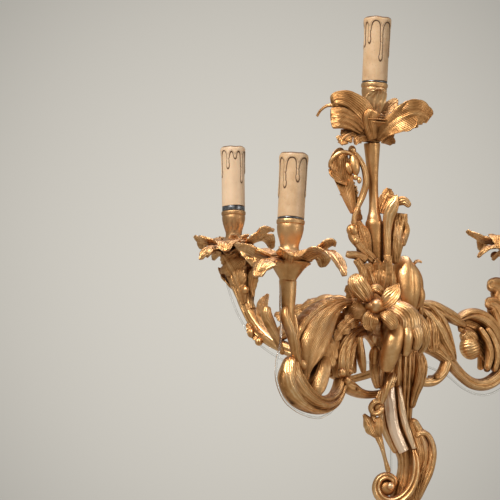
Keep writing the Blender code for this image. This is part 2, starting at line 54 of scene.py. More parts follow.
# Layout, the same as the model's
HUB_X = -15.0
LIGHTS = {
    "front": {"azimuth": -131.6, "reach": 160.5, "height": 322.0, "lean": (3.0, 0.5), "sleeve": 65.0,
              "raise": 0.3},
    "left": {"azimuth": 146.9, "reach": 192.0, "height": 364.0, "lean": (-0.8, 0.5), "sleeve": 70.0,
             "raise": 4.0},
    "right": {"azimuth": 28.6, "reach": 178.0, "height": 361.0, "lean": (0.5, 0.5), "sleeve": 68.0,
              "raise": 0.3},
    "top": {"lean": (2.8, 6.0), "sleeve": 68.0, "raise": 0.3},
}
STEM_FOOT = (-28.0, -31.0, 342.0)
STEM_LEAN = (-1.75, 6.0)
STEM_LENGTH = 133.0
RIM_HEIGHT = 61.0
SLEEVE_FOOT = 1.4  # the sleeve stops this far above its seat
SLEEVE_RADIUS = 13.1
SLEEVE_BORE = 11.85
WAX_THICKNESS = 0.85
LEAD_RADIUS = 1.15
CALYX_GAP = 0.3  # between an arm and the calyx on it
TOP_CALYX_GAP = 0.9  # the top calyx leans on the stem's end, so its gap is larger
FLOOR_GAP = 0.0002  # metres between the foot and the floor
TOP_PAN_WEAR = -0.28  # the top pan's gilding is browner than the others'
BASE_RADIUS = 76.0
BASE_HEIGHT = 104.0
VIEWPOINT = (-0.158, -1.457, 0.190)  # metres
VIEW_PITCH = 6.98


# ---------------------------------------------------------------- numbers and curves

def lean_matrix(lean):
    return Matrix.Rotation(math.radians(lean[0]), 4, "Y") @ Matrix.Rotation(math.radians(lean[1]), 4, "X")


def arm_matrix(key):
    return (Matrix.Translation(Vector((HUB_X, 0, 0)))
            @ Matrix.Rotation(math.radians(LIGHTS[key]["azimuth"]), 4, "Z"))


def stem_matrix():
    return Matrix.Translation(Vector(STEM_FOOT)) @ lean_matrix(STEM_LEAN)


def light_matrix(key):
    light = LIGHTS[key]
    if key == "top":
        foot = stem_matrix() @ Vector((0, 0, STEM_LENGTH + TOP_CALYX_GAP))
    else:
        angle = math.radians(light["azimuth"])
        foot = Vector((HUB_X + light["reach"] * math.cos(angle), light["reach"] * math.sin(angle),
                       light["height"] + CALYX_GAP))
    return Matrix.Translation(foot) @ lean_matrix(light["lean"])


def spline(points, count):
    """Rows of numbers read at even steps along a Catmull-Rom curve through the given rows."""
    points = np.asarray(points, float)
    if len(points) == 2:
        points = np.array([points[0], points.mean(axis=0), points[1]])
    padded = np.vstack([2 * points[0] - points[1], points, 2 * points[-1] - points[-2]])
    place = np.linspace(0, len(points) - 1, count)
    i = np.minimum(place.astype(int), len(points) - 2)
    t = (place - i)[:, None]
    before, start, end, after = padded[i], padded[i + 1], padded[i + 2], padded[i + 3]
    return 0.5 * (2 * start + (end - before) * t + (2 * before - 5 * start + 4 * end - after) * t * t
                  + (3 * start - before - 3 * end + after) * t ** 3)


def unit(vectors):
    return vectors / np.maximum(np.linalg.norm(vectors, axis=-1, keepdims=True), 1e-9)


def frames(path, face):
    """Tangent, sideways and facing directions along a path; face is one direction or one for each point."""
    along = unit(np.gradient(path, axis=0))
    face = np.broadcast_to(np.asarray(face, float), path.shape)
    side = unit(np.cross(along, face))
    return along, side, unit(np.cross(side, along))


def wobble(points, scale, seed):
    """Smooth irregularity of about -1 to 1 over space, the same on every run."""
    random = np.random.default_rng(seed)
    total = np.zeros(points.shape[:-1])
    for _ in range(7):
        direction = random.normal(size=3)
        total += np.sin(points @ (direction / scale) + random.uniform(0, TAU))
    return total / 3.5


def ridge(q, sharp=0.6):
    """Rounded flutes: 0 in the groove at whole numbers, 1 half way between."""
    return np.abs(np.sin(math.pi * q)) ** sharp


# ---------------------------------------------------------------- shapes
# ribbon, blade and ball return rings of points, their relief and
# their chased lines. turned returns the first two.

def ribbon(rows, face, flutes=3, cut=0.3, fine=0.0, blunt=(False, False), twist=0.0, edge=0.0, lobes=0,
           n=70, m=44, seed=1, depth_power=0.75, hair=4.0, roam=1.0):
    """A solid band: rows are (x, y, z, half width, half depth). Grooves wander along both faces."""
    n, m = int(n * FINE), int(m * FINE)
    rows = spline(rows, n)
    path = rows[:, :3]
    _, side, normal = frames(path, face)
    s = np.linspace(0, 1, n)
    wide, deep = np.maximum(rows[:, 3], 0.3), np.maximum(rows[:, 4], 0.3)
    ease = np.ones(n)
    for end, place in ((0, s), (1, 1 - s)):
        if not blunt[end]:
            ease *= np.sqrt(1 - (1 - np.minimum(place / 0.07, 1)) ** 2 + 1e-4)
    if lobes:
        wide = wide * (1 + edge * (ridge(s * lobes, 0.8) - 0.5))
    phi = TAU * np.arange(m) / m
    across = np.cos(phi)
    x = np.sign(across) * np.abs(across) ** 0.9
    y = np.sign(np.sin(phi)) * np.abs(np.sin(phi)) ** depth_power
    S, u = s[:, None], (across + 1)[None, :] / 2
    drift = roam * np.sin(4.4 * S + 2.3 * u + seed) * np.sin(math.pi * u)
    q = flutes * (u + 0.11 * drift)
    uneven = 0.5 * min(roam, 1.0) * (0.5 + 0.5 * np.sin(5.1 * S + 3.7 * u + 1.9 * seed))
    groove = 1 - (1 - ridge(q)) * (1 - uneven)
    strand = np.sin(TAU * q * 3.5) * (0.6 + 0.4 * np.sin(9 * S + seed))
    height = y[None, :] * ((1 - cut) + cut * groove + fine * strand)
    px = (ease * wide)[:, None] * x[None, :]
    py = (ease * deep)[:, None] * height
    turn = (twist * s)[:, None] * TAU
    px, py = px * np.cos(turn) - py * np.sin(turn), px * np.sin(turn) + py * np.cos(turn)
    rings = path[:, None] + side[:, None] * px[..., None] + normal[:, None] * py[..., None]
    rings += normal[:, None] * (0.28 * wobble(rings, 9, seed) * ease[:, None])[..., None]
    relief = np.clip(0.15 + 0.75 * groove, 0, 1)
    lines = 50 + hair * (across[None, :] + 0.35 * np.sin(3 * S + seed)) if hair else 0 * S
    return rings, relief, lines * np.ones_like(relief)


def blade(rows, face, cup=0.2, thick=1.7, lobes=5, notch=0.3, sweep=0.10, curl=0.0, puff=0.12, veins=4,
          n=84, m=26, seed=1, middle=0.10, teeth=0.10, hair=6.0):
    """A leaf: rows are (x, y, z, half width). Lobed edges, puffed lobes, a midrib and fine veins."""
    n, m = int(n * FINE), int(m * FINE)
    rows = spline(rows, n)
    s = np.linspace(0, 1, n)
    t = np.linspace(-1, 1, m)
    _, side, normal = frames(rows[:, :3], face)
    S = s[:, None] * np.ones(m)[None, :]
    T = np.ones(n)[:, None] * t[None, :]
    lobe = ridge(S * lobes + 0.15 * np.sin(3 * T + seed), 0.7)
    tooth = ridge(S * lobes * 3 + 0.4, 0.8)
    wide = np.maximum(rows[:, 3], 0.4)[:, None]
    reach = 1 - notch * (1 - lobe) * np.abs(T) ** 1.5 - teeth * (1 - tooth) * np.abs(T) ** 3
    reach = reach * (1 + 0.10 * np.sin(5.3 * S * lobes + seed * 1.7 + np.sign(T) * 1.1))
    x = T * wide * reach
    shifted = np.clip(S + sweep * np.abs(T) ** 1.4 * (1 - S) * np.minimum(1, 3 * S + 0.2), 0, 1)
    place = shifted * (n - 1)
    i = np.minimum(place.astype(int), n - 2)
    f = (place - i)[..., None]

    def at(values):
        return values[i] * (1 - f) + values[i + 1] * f
    P, D, N = at(rows[:, :3]), unit(at(side)), unit(at(normal))
    y = cup * wide * T ** 2
    y = y + puff * wide * (lobe - 0.5) * np.sin(math.pi * np.abs(T)) ** 0.8
    y = y + middle * wide * np.exp(-(T / 0.10) ** 2) - 0.5 * middle * wide * np.exp(-((np.abs(T)
                                                                                       - 0.24) / 0.08) ** 2)
    vein = np.sin(TAU * S * lobes * veins) * np.abs(T) ** 0.5 * (1 - T ** 8)
    y = y + 0.09 * vein + curl * wide * np.maximum(0, np.abs(T) - 0.55) ** 2 * 4 * (0.6 + 0.6 * lobe)
    half = 0.5 * thick * (1 - 0.55 * T ** 4)
    top = P + D * x[..., None] + N * (y + half)[..., None]
    low = P + D * x[..., None] + N * (y - half)[..., None]
    rings = np.concatenate([top, low[:, ::-1]], axis=1)
    rings += 0.22 * wobble(rings, 8, seed)[..., None] * np.concatenate([N, N[:, ::-1]], axis=1)
    relief = np.clip(0.50 + 0.35 * (lobe - 0.5) + 0.16 * vein + 0.35 * np.exp(-(T / 0.12) ** 2)
                     + 0.35 * np.abs(T) ** 6, 0, 1)
    lines = 50 + hair * T * (0.75 + 0.25 * S) + 0.4 * np.sin(5 * S)
    return rings, np.concatenate([relief, relief[:, ::-1]], axis=1), np.concatenate([lines, lines[:, ::-1]],
                                                                                    axis=1)


def ball(centre, radii, lobes=6, cut=0.12, axis=(0, 0, 1), n=26, m=48, seed=3, point=0.0, hair=0.0):
    """A closed round or lobed form; radii across, across, along the axis; point draws its far end out."""
    n, m = int(n * FINE), int(m * FINE)
    latitude = np.linspace(0.04, math.pi - 0.04, n)[:, None]
    phi = (TAU * np.arange(m) / m)[None, :]
    groove = ridge(lobes * phi / TAU, 0.55) if lobes else np.ones_like(phi)
    swell = 1 - cut * (1 - groove) * np.sin(latitude)
    up = -np.cos(latitude) * np.ones_like(phi)
    up = up + point * np.maximum(up, 0) ** 3
    body = np.stack([radii[0] * np.sin(latitude) * np.cos(phi) * swell,
                     radii[1] * np.sin(latitude) * np.sin(phi) * swell, radii[2] * up], axis=-1)
    rotation = np.array(Vector((0, 0, 1)).rotation_difference(Vector(axis)).to_matrix())
    rings = body @ rotation.T + np.asarray(centre, float)
    rings += 0.03 * min(radii) * wobble(rings, 6, seed)[..., None] * unit(rings - np.asarray(centre, float))
    lines = 50 + hair * latitude * np.ones_like(phi) if hair else np.zeros((n, m))
    return rings, np.clip(0.3 + 0.6 * groove, 0, 1) * np.ones((n, 1)), lines


def softened(profile, rounds=2, keep=0.18):
    """Cut the corners of a closed profile, so that its edges are rounded."""
    points = np.asarray(profile, float)
    for _ in range(rounds):
        following = np.roll(points, -1, axis=0)
        points = np.stack([points * (1 - keep) + following * keep, points * keep + following * (1 - keep)],
                          axis=1).reshape(-1, 2)
    return points


def turned(profile, m=64, shape=None, rounds=2, keep=0.18):
    """Turn a closed profile of (radius, height) round Z; shape(angle, radius, height) moves points."""
    points = softened(profile, rounds, keep)
    phi = (TAU * np.arange(m) / m)[:, None]
    radius, height = points[None, :, 0] * np.ones_like(phi), points[None, :, 1] * np.ones_like(phi)
    relief = np.full(radius.shape, 0.6)
    if shape:
        radius, height, relief = shape(phi, radius, height)
    rings = np.stack([radius * np.cos(phi), radius * np.sin(phi), height], axis=-1)
    return rings, relief


def moved(part, matrix):
    """The same shape carried from its own frame into another."""
    matrix = np.array(matrix)
    return (part[0] @ matrix[:3, :3].T + matrix[:3, 3], *part[1:])


def worn(part, amount):
    """The same shape with paler gilding, or browner where the amount is below nothing."""
    return (part[0], part[1] + amount, *part[2:])


# ---------------------------------------------------------------- meshes

def add_mesh(name, parts, looks, body, nodes=(), loops=()):
    """One object from several closed shapes; loops names the shapes whose rings close on themselves."""
    verts, quads, tris, relief, lines = [], [], [], [], []
    offset = 0
    for index, (rings, height, *drawn) in enumerate(parts):
        rows, columns = rings.shape[:2]
        lines.append(np.broadcast_to(drawn[0] if drawn else 0.0, (rows, columns)).ravel())
        grid = np.arange(rows * columns).reshape(rows, columns) + offset
        verts.append(rings.reshape(-1, 3))
        relief.append(np.broadcast_to(height, (rows, columns)).ravel())
        looped = loops == "all" or index in loops
        a = grid if looped else grid[:-1]
        b = np.roll(grid, -1, axis=0) if looped else grid[1:]
        quads.append(np.stack([a, np.roll(a, -1, axis=1), np.roll(b, -1, axis=1), b], axis=-1).reshape(-1, 4))
        offset += rows * columns
        if not looped:
            for ring, order in ((grid[0], -1), (grid[-1], 1)):
                verts.append(rings[0 if order < 0 else -1].mean(axis=0, keepdims=True))
                relief.append(np.array([0.5]))
                lines.append(np.array([0.0]))
                fan = np.stack([ring, np.roll(ring, -1), np.full(columns, offset)], axis=-1)
                tris.append(fan[:, ::-1] if order < 0 else fan)
                offset += 1
    verts = np.concatenate(verts)
    quads = np.concatenate(quads)
    tris = np.concatenate(tris) if tris else np.zeros((0, 3), int)
    data = bpy.data.meshes.new(name)
    data.vertices.add(len(verts))
    data.vertices.foreach_set("co", (verts * MM).astype(np.float32).ravel())
    corners = np.concatenate([quads.ravel(), tris.ravel()]).astype(np.int32)
    data.loops.add(len(corners))
    data.loops.foreach_set("vertex_index", corners)
    starts = np.concatenate([np.arange(len(quads)) * 4, len(quads) * 4 + np.arange(len(tris))
                             * 3]).astype(np.int32)
    data.polygons.add(len(starts))
    data.polygons.foreach_set("loop_start", starts)
    data.update(calc_edges=True)
    values = data.attributes.new("relief", "FLOAT", "POINT")
    values.data.foreach_set("value", np.concatenate(relief).astype(np.float32))
    values = data.attributes.new("chase", "FLOAT", "POINT")
    values.data.foreach_set("value", np.concatenate(lines).astype(np.float32))
    fix_normals(data)
    data.shade_smooth()
    data.materials.append(looks)
    piece = bpy.data.objects.new(name, data)
    bpy.context.collection.objects.link(piece)
    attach(piece, body)
    if nodes:
        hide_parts(*nodes)
    return piece


def fix_normals(data):
    import bmesh
    work = bmesh.new()
    work.from_mesh(data)
    bmesh.ops.recalc_face_normals(work, faces=work.faces)
    work.to_mesh(data)
    work.free()


# ---------------------------------------------------------------- materials

class Nodes:
    """A small helper for building a node material."""

    def __init__(self, name):
        self.material = bpy.data.materials.new(name)
        self.material.use_nodes = True
        self.tree = self.material.node_tree
        self.shader = self.tree.nodes["Principled BSDF"]

    def add(self, kind, settings=None, **links):
        node = self.tree.nodes.new(kind)
        for key, value in (settings or {}).items():
            if hasattr(node, key):
                setattr(node, key, value)
            else:
                node.inputs[key].default_value = value
        for key, source in links.items():
            self.tree.links.new(source, node.inputs[key.replace("_", " ")] if not key.startswith("in")
                                else node.inputs[int(key[2:])])
        return node

    def coords(self):
        return self.add("ShaderNodeTexCoord").outputs["Object"]

    def noise(self, scale, detail=5.0, roughness=0.6, distortion=0.0):
        node = self.add("ShaderNodeTexNoise", {"Scale": scale, "Detail": detail, "Roughness": roughness,
                                               "Distortion": distortion})
        self.tree.links.new(self.coords(), node.inputs["Vector"])
        return node.outputs["Fac"]

    def math(self, kind, a, b):
        node = self.add("ShaderNodeMath", {"operation": kind})
        for socket, value in zip(node.inputs, (a, b)):
            if isinstance(value, (int, float)):
                socket.default_value = value
            else:
                self.tree.links.new(value, socket)
        return node.outputs[0]

    def ramp(self, value, stops):
        node = self.add("ShaderNodeValToRGB")
        elements = node.color_ramp.elements
        while len(elements) < len(stops):
            elements.new(0.5)
        for element, (place, colour) in zip(elements, stops):
            element.position = place
            element.color = (*colour, 1.0) if isinstance(colour, tuple) else (colour, colour, colour, 1.0)
        self.tree.links.new(value, node.inputs["Fac"])
        return node.outputs["Color"]

    def mix(self, factor, a, b, blend="MIX"):
        node = self.add("ShaderNodeMix", {"data_type": "RGBA", "blend_type": blend})
        for socket, value in ((node.inputs[0], factor), (node.inputs[6], a), (node.inputs[7], b)):
            if isinstance(value, (int, float)):
                socket.default_value = value
            elif isinstance(value, tuple):
                socket.default_value = (*value, 1.0)
            else:
                self.tree.links.new(value, socket)
        return node.outputs[2]

    def bump(self, height, strength, distance):
        node = self.add("ShaderNodeBump", {"Strength": strength, "Distance": distance})
        self.tree.links.new(height, node.inputs["Height"])
        self.tree.links.new(node.outputs["Normal"], self.shader.inputs["Normal"])

    def link(self, value, socket):
        self.tree.links.new(value, self.shader.inputs[socket])


def gilt_material(name="gilt_bronze", pale=0.0):
    """Old fire gilding: golden on the ridges, brown patina in the hollows deepened by painted shade where
    parts crowd each other, worn to a pinkish grey in places, with a painted top-light sheen of that grey on
    faces turned up.
    """
    made = Nodes(name)
    relief = made.add("ShaderNodeAttribute", {"attribute_name": "relief"}).outputs["Fac"]
    occlusion_shade = made.add("ShaderNodeAmbientOcclusion", {"samples": 8, "Distance": 0.009})
    broad = made.noise(34.0, 4.0, 0.6)
    patchy = made.noise(115.0, 6.0, 0.65, 0.4)
    grain = made.noise(900.0, 5.0, 0.7)
    drawn = made.add("ShaderNodeAttribute", {"attribute_name": "chase"}).outputs["Fac"]
    line = made.math("SINE", made.math("MULTIPLY", made.math("ADD", drawn, made.math("MULTIPLY", broad, 2.2)),
                                       TAU), 0.0)
    line = made.math("MULTIPLY", line, made.math("MINIMUM", drawn, 1.0))
    # painted shade: the occlusion node turns the gilding browner where parts crowd or overhang it, on top of
    # the patina that the relief gives the hollows
    painted_open_light = made.math("POWER", occlusion_shade.outputs["AO"], 1.6)
    lift = made.math("ADD", made.math("MULTIPLY", relief, 0.40), made.math("MULTIPLY", painted_open_light, 0.42))
    lift = made.math("ADD", lift, made.math("MULTIPLY", made.math("SUBTRACT", patchy, 0.5), 0.55))
    lift = made.math("ADD", lift, made.math("MULTIPLY", line, 0.09))
    lift = made.math("ADD", lift, made.math("MULTIPLY", made.math("SUBTRACT", broad, 0.5), 0.45))
    gold = made.ramp(lift, [(0.10, (0.075, 0.031, 0.010)), (0.30, (0.255, 0.112, 0.036)),
                            (0.52, (0.55, 0.268, 0.096)), (0.76, (0.79, 0.455, 0.195)),
                            (0.95, (0.98, 0.68, 0.37))])
    # painted top light: faces turned up take more of the pale pinkish grey as a painted sheen; the broad
    # noise alone gives the real worn patches
    up = made.add("ShaderNodeSeparateXYZ")
    made.tree.links.new(made.add("ShaderNodeNewGeometry").outputs["Normal"], up.inputs[0])
    painted_top_light = made.ramp(up.outputs["Z"], [(0.35, 0.0), (0.85, 1.0)])
    rubbed_and_top_sheen = made.ramp(made.math("ADD", made.math("MULTIPLY", broad, 0.8),
                                 made.math("MULTIPLY", painted_top_light, 0.22)),
                       [(0.46, 0.0), (0.66, 1.0)])
    colour = made.mix(made.math("MULTIPLY", rubbed_and_top_sheen, 0.60), gold, (0.56, 0.345, 0.235))
    bare = made.ramp(made.math("SUBTRACT", relief, 1.0), [(0.0, 0.0), (1.0, 1.0)])
    colour = made.mix(bare, colour, (0.98, 0.765, 0.60))
    if pale:
        colour = made.mix(pale, colour, (0.66, 0.48, 0.28))
    made.link(colour, "Base Color")
    made.link(made.math("SUBTRACT", 1.0, made.math("MULTIPLY", bare, 0.45)), "Metallic")
    rough = made.ramp(made.math("ADD", made.math("MULTIPLY", lift, 0.6), made.math("MULTIPLY", patchy, 0.45)),
                      [(0.15, 0.66), (0.55, 0.44), (0.95, 0.28)])
    made.link(rough, "Roughness")
    height = made.math("ADD", made.math("MULTIPLY", grain, 0.30), made.math("MULTIPLY", patchy, 1.0))
    made.bump(made.math("ADD", height, made.math("MULTIPLY", line, 0.42)), 0.65, 0.0007)
    return made.material


def sleeve_material(name="ivory_sleeve", pale=0.0):
    """Ivory sleeve: brown stain along the edges of the drips, faint clouds and specks."""
    made = Nodes(name)
    stain = made.add("ShaderNodeAttribute", {"attribute_name": "stain"}).outputs["Fac"]
    cloud = made.noise(55.0, 5.0, 0.6)
    speck = made.noise(420.0, 3.0, 0.5)
    ivory = made.ramp(cloud, [(0.30, (0.47, 0.285, 0.150)), (0.52, (0.60, 0.395, 0.225)),
                              (0.75, (0.68, 0.475, 0.300))])
    specks = made.ramp(speck, [(0.62, 0.0), (0.70, 1.0)])
    ivory = made.mix(made.math("MULTIPLY", specks, 0.35), ivory, (0.30, 0.17, 0.07))
    if pale:
        ivory = made.mix(pale, ivory, (0.80, 0.60, 0.42))
    broken = made.ramp(made.math("ADD", stain, made.math("MULTIPLY", made.math("SUBTRACT", cloud, 0.5), 0.7)),
                       [(0.25, 0.0), (0.62, 1.0)])
    made.link(made.mix(broken, ivory, (0.105, 0.047, 0.018)), "Base Color")
    made.link(made.math("ADD", made.math("MULTIPLY", broken, 0.3), 0.42), "Roughness")
    made.shader.inputs["Subsurface Weight"].default_value = 0.10
    made.shader.inputs["Subsurface Radius"].default_value = (0.004, 0.002, 0.001)
    made.bump(cloud, 0.25, 0.0004)
    return made.material


def plain_metal(name, low, high, roughness, scale=300.0):
    made = Nodes(name)
    cloud = made.noise(scale, 5.0, 0.6)
    made.link(made.ramp(cloud, [(0.35, low), (0.65, high)]), "Base Color")
    made.shader.inputs["Metallic"].default_value = 1.0
    made.link(made.ramp(made.noise(scale * 0.4, 4.0), [(0.3, roughness + 0.12), (0.7, roughness)]),
              "Roughness")
    made.bump(cloud, 0.3, 0.0002)
    return made.material


def moulding_material():
    made = Nodes("black_moulding")
    grain = made.noise(700.0, 3.0)
    made.link(made.ramp(grain, [(0.3, (0.012, 0.012, 0.012)), (0.7, (0.030, 0.028, 0.026))]), "Base Color")
    made.shader.inputs["Roughness"].default_value = 0.38
    made.bump(grain, 0.3, 0.0002)
    return made.material


def felt_material():
    made = Nodes("felt")
    fibre = made.noise(1400.0, 6.0, 0.75)
    made.link(made.ramp(fibre, [(0.3, (0.012, 0.045, 0.022)), (0.7, (0.045, 0.13, 0.07))]), "Base Color")
    made.shader.inputs["Roughness"].default_value = 0.95
    made.shader.inputs["Sheen Weight"].default_value = 0.4
    made.bump(fibre, 0.8, 0.0005)
    return made.material


def flex_material():
    """Clear sheath over two strands."""
    made = Nodes("clear_flex")
    made.shader.inputs["Base Color"].default_value = (0.93, 0.93, 0.92, 1)
    made.shader.inputs["Roughness"].default_value = 0.06
    made.shader.inputs["Transmission Weight"].default_value = 0.95
    made.shader.inputs["IOR"].default_value = 1.2
    made.bump(made.noise(260.0, 3.0), 0.25, 0.0004)
    return made.material


GILT = gilt_material()
BRASS = gilt_material("pale_brass", 0.30)
STEEL = plain_metal("steel", (0.10, 0.105, 0.115), (0.30, 0.31, 0.33), 0.30)
IVORY = sleeve_material()
IVORY_PALE = sleeve_material("ivory_sleeve_pale", 0.55)
BLACK = moulding_material()
FELT = felt_material()
FLEX = flex_material()


# ---------------------------------------------------------------- arms

def front_arm():
    """Fluted curl with a big drooping acanthus and an arched inner scroll."""
    face = (0, 1, 0)
    return [
        # riser tube, and the two strands it parts into
        ribbon([(160.5, 0, 323, 8.4, 8.4), (160.8, 0, 308, 7.6, 7.7), (161, 0, 294, 6.9, 7),
                (160, 0, 284, 6, 6.4), (158, 0, 274, 4.4, 5)], face, flutes=1, cut=0.04, blunt=(True, False),
               depth_power=1.0, hair=0, seed=2),
        ribbon([(168, 3, 299, 2.5, 3), (170, 5, 288, 4.5, 5), (165, 6.5, 276, 5.2, 5.5),
                (159, 6, 262, 4.4, 5), (154, 5, 250, 3.6, 4.5), (147, 4, 240, 3, 4)], face, flutes=1,
               cut=0.05, depth_power=1.0, hair=2, seed=3),
        ribbon([(156, -1, 297, 3, 4), (153, 0, 284, 5, 5.5), (152, 0, 270, 5, 5.5), (148, 0, 255, 4.6, 5),
                (143, 0, 243, 4, 5)], face, flutes=1, cut=0.05, depth_power=1.0, hair=2, seed=4),
        ribbon([(164, -3, 252, 2, 3), (171, -4, 266, 3.5, 4), (179, -5, 279, 5.5, 4.5),
                (186, -5, 290, 6, 4.5), (185, -5, 298, 4, 3.5)], face, flutes=1, cut=0.1, hair=3, seed=5),
        ball((146, 5, 243), (5.5, 5.5, 4.5), lobes=0, axis=(1, 0, -0.6)),
        # the curl
        ribbon([(152, 0, 252, 6, 6), (156, 0, 240, 11, 9), (155, 0, 228, 15, 11), (143, 0, 215, 14, 11.5),
                (125, 0, 207, 11, 10.5), (107, 0, 205, 9, 9), (91, 0, 210, 7.5, 8), (81, 0, 221, 6.5, 7.5),
                (76, 0, 236, 7, 7)], face, flutes=3, cut=0.5, hair=7, n=110, m=72, seed=6),
        # the big leaf: a thin root, then broad and smooth, closing to a point
        ribbon([(44, 0, 309, 3.5, 5), (60, 0, 309, 3.5, 6), (78, 0, 307, 4.5, 8), (95, 0, 299, 10, 10),
                (112, 0, 284, 18.5, 12), (126, 0, 266, 21, 12), (134, 0, 249, 14, 9), (136, 0, 237, 7, 6),
                (134, 0, 225, 2.5, 3)], face,
               flutes=3, cut=0.20, hair=13, n=120, m=72, lobes=5, edge=0.05, seed=8),
        ribbon([(72, 0, 311, 2.5, 6), (94, 0, 307, 4.5, 7), (114, 0, 301, 4.5, 8), (132, 0, 291, 4.5, 8),
                (146, 0, 278, 4, 7), (153, 0, 263, 2.5, 5)], face, flutes=1, cut=0.04, hair=3, lobes=8,
               edge=0.3, n=90, seed=9),
        # serrated leaf under it
        blade([(38, 8, 308, 5), (52, 9, 301, 8), (68, 9, 291, 9), (84, 7, 280, 7), (95, 5, 268, 3)],
              (0.1, 1, 0.2), cup=-0.15, lobes=5, notch=0.4, seed=10),
        blade([(38, -8, 308, 5), (52, -9, 301, 8), (68, -9, 291, 9), (84, -7, 280, 7), (95, -5, 268, 3)],
              (0.1, -1, 0.2), cup=-0.15, lobes=5, notch=0.4, seed=11),
        # hatched lobes and the leaf that rolls into a ball inside the curl
        ribbon([(86, 0, 271, 4, 5), (95, 0, 263, 9, 7), (101, 0, 252, 11, 8), (104, 0, 242, 8, 7)],
               (0.2, 1, 0), flutes=2, cut=0.12, lobes=3, edge=0.3, hair=7, seed=12),
        ribbon([(103, 0, 253, 6, 6), (109, 0, 243, 9.5, 9), (115, 0, 231, 11, 10), (120, 0, 220, 9.5, 9),
                (121, 0, 212, 5, 6)], face, flutes=1, cut=0.05, hair=9, m=64, seed=13),
        # arched inner scroll, its tongues and the knots at its end
        ribbon([(8, 0, 244, 7, 8), (13, 0, 262, 6.4, 7), (24, 0, 275, 6, 6.5), (39, 0, 281, 6.2, 7),
                (55, 0, 278, 8.5, 8), (68, 0, 268, 12, 9.5), (75, 0, 253, 14.5, 10), (77, 0, 240, 12, 9.5),
                (76, 0, 230, 9, 8)], face, flutes=3, cut=0.5, hair=8, n=110, m=72, seed=14, roam=1.3),
        ribbon([(57, 5, 276, 4, 5), (54, 6, 260, 4.6, 5), (51, 6, 248, 4, 4.5), (48, 6, 237, 1.2, 3)], face,
               flutes=1, cut=0.1, hair=2, seed=15),
        ribbon([(57, -5, 276, 4, 5), (54, -6, 260, 4.6, 5), (51, -6, 248, 4, 4.5), (48, -6, 237, 1.2, 3)],
               face, flutes=1, cut=0.1, hair=2, seed=16),
        ball((86, 8, 237), (4.6, 4.6, 4.2), lobes=5, axis=(0, 1, 0)),
        ball((79, 9, 229), (4, 4, 4), lobes=4, axis=(0, 1, 0)),
        ball((86, -8, 237), (4.6, 4.6, 4.2), lobes=5, axis=(0, 1, 0)),
        ball((73, 8, 238), (3.4, 3.4, 3), lobes=4),
        # strut to the stem, and the pin under the hub
        ribbon([(77, 0, 238, 8, 7.5), (72, 0, 228, 6.5, 6.5), (62, 0, 222, 6.6, 8), (46, 0, 217, 5, 6),
                (27, 0, 216, 4, 4.4), (6, 0, 218, 4, 4.5)], face, flutes=1, cut=0.1, hair=2, seed=17),
        ribbon([(47, 8, 284, 0.9, 0.9), (36, 8, 288, 0.9, 0.9), (24, 8, 291, 0.9, 0.9)], face, flutes=1,
               cut=0, hair=0),
    ]


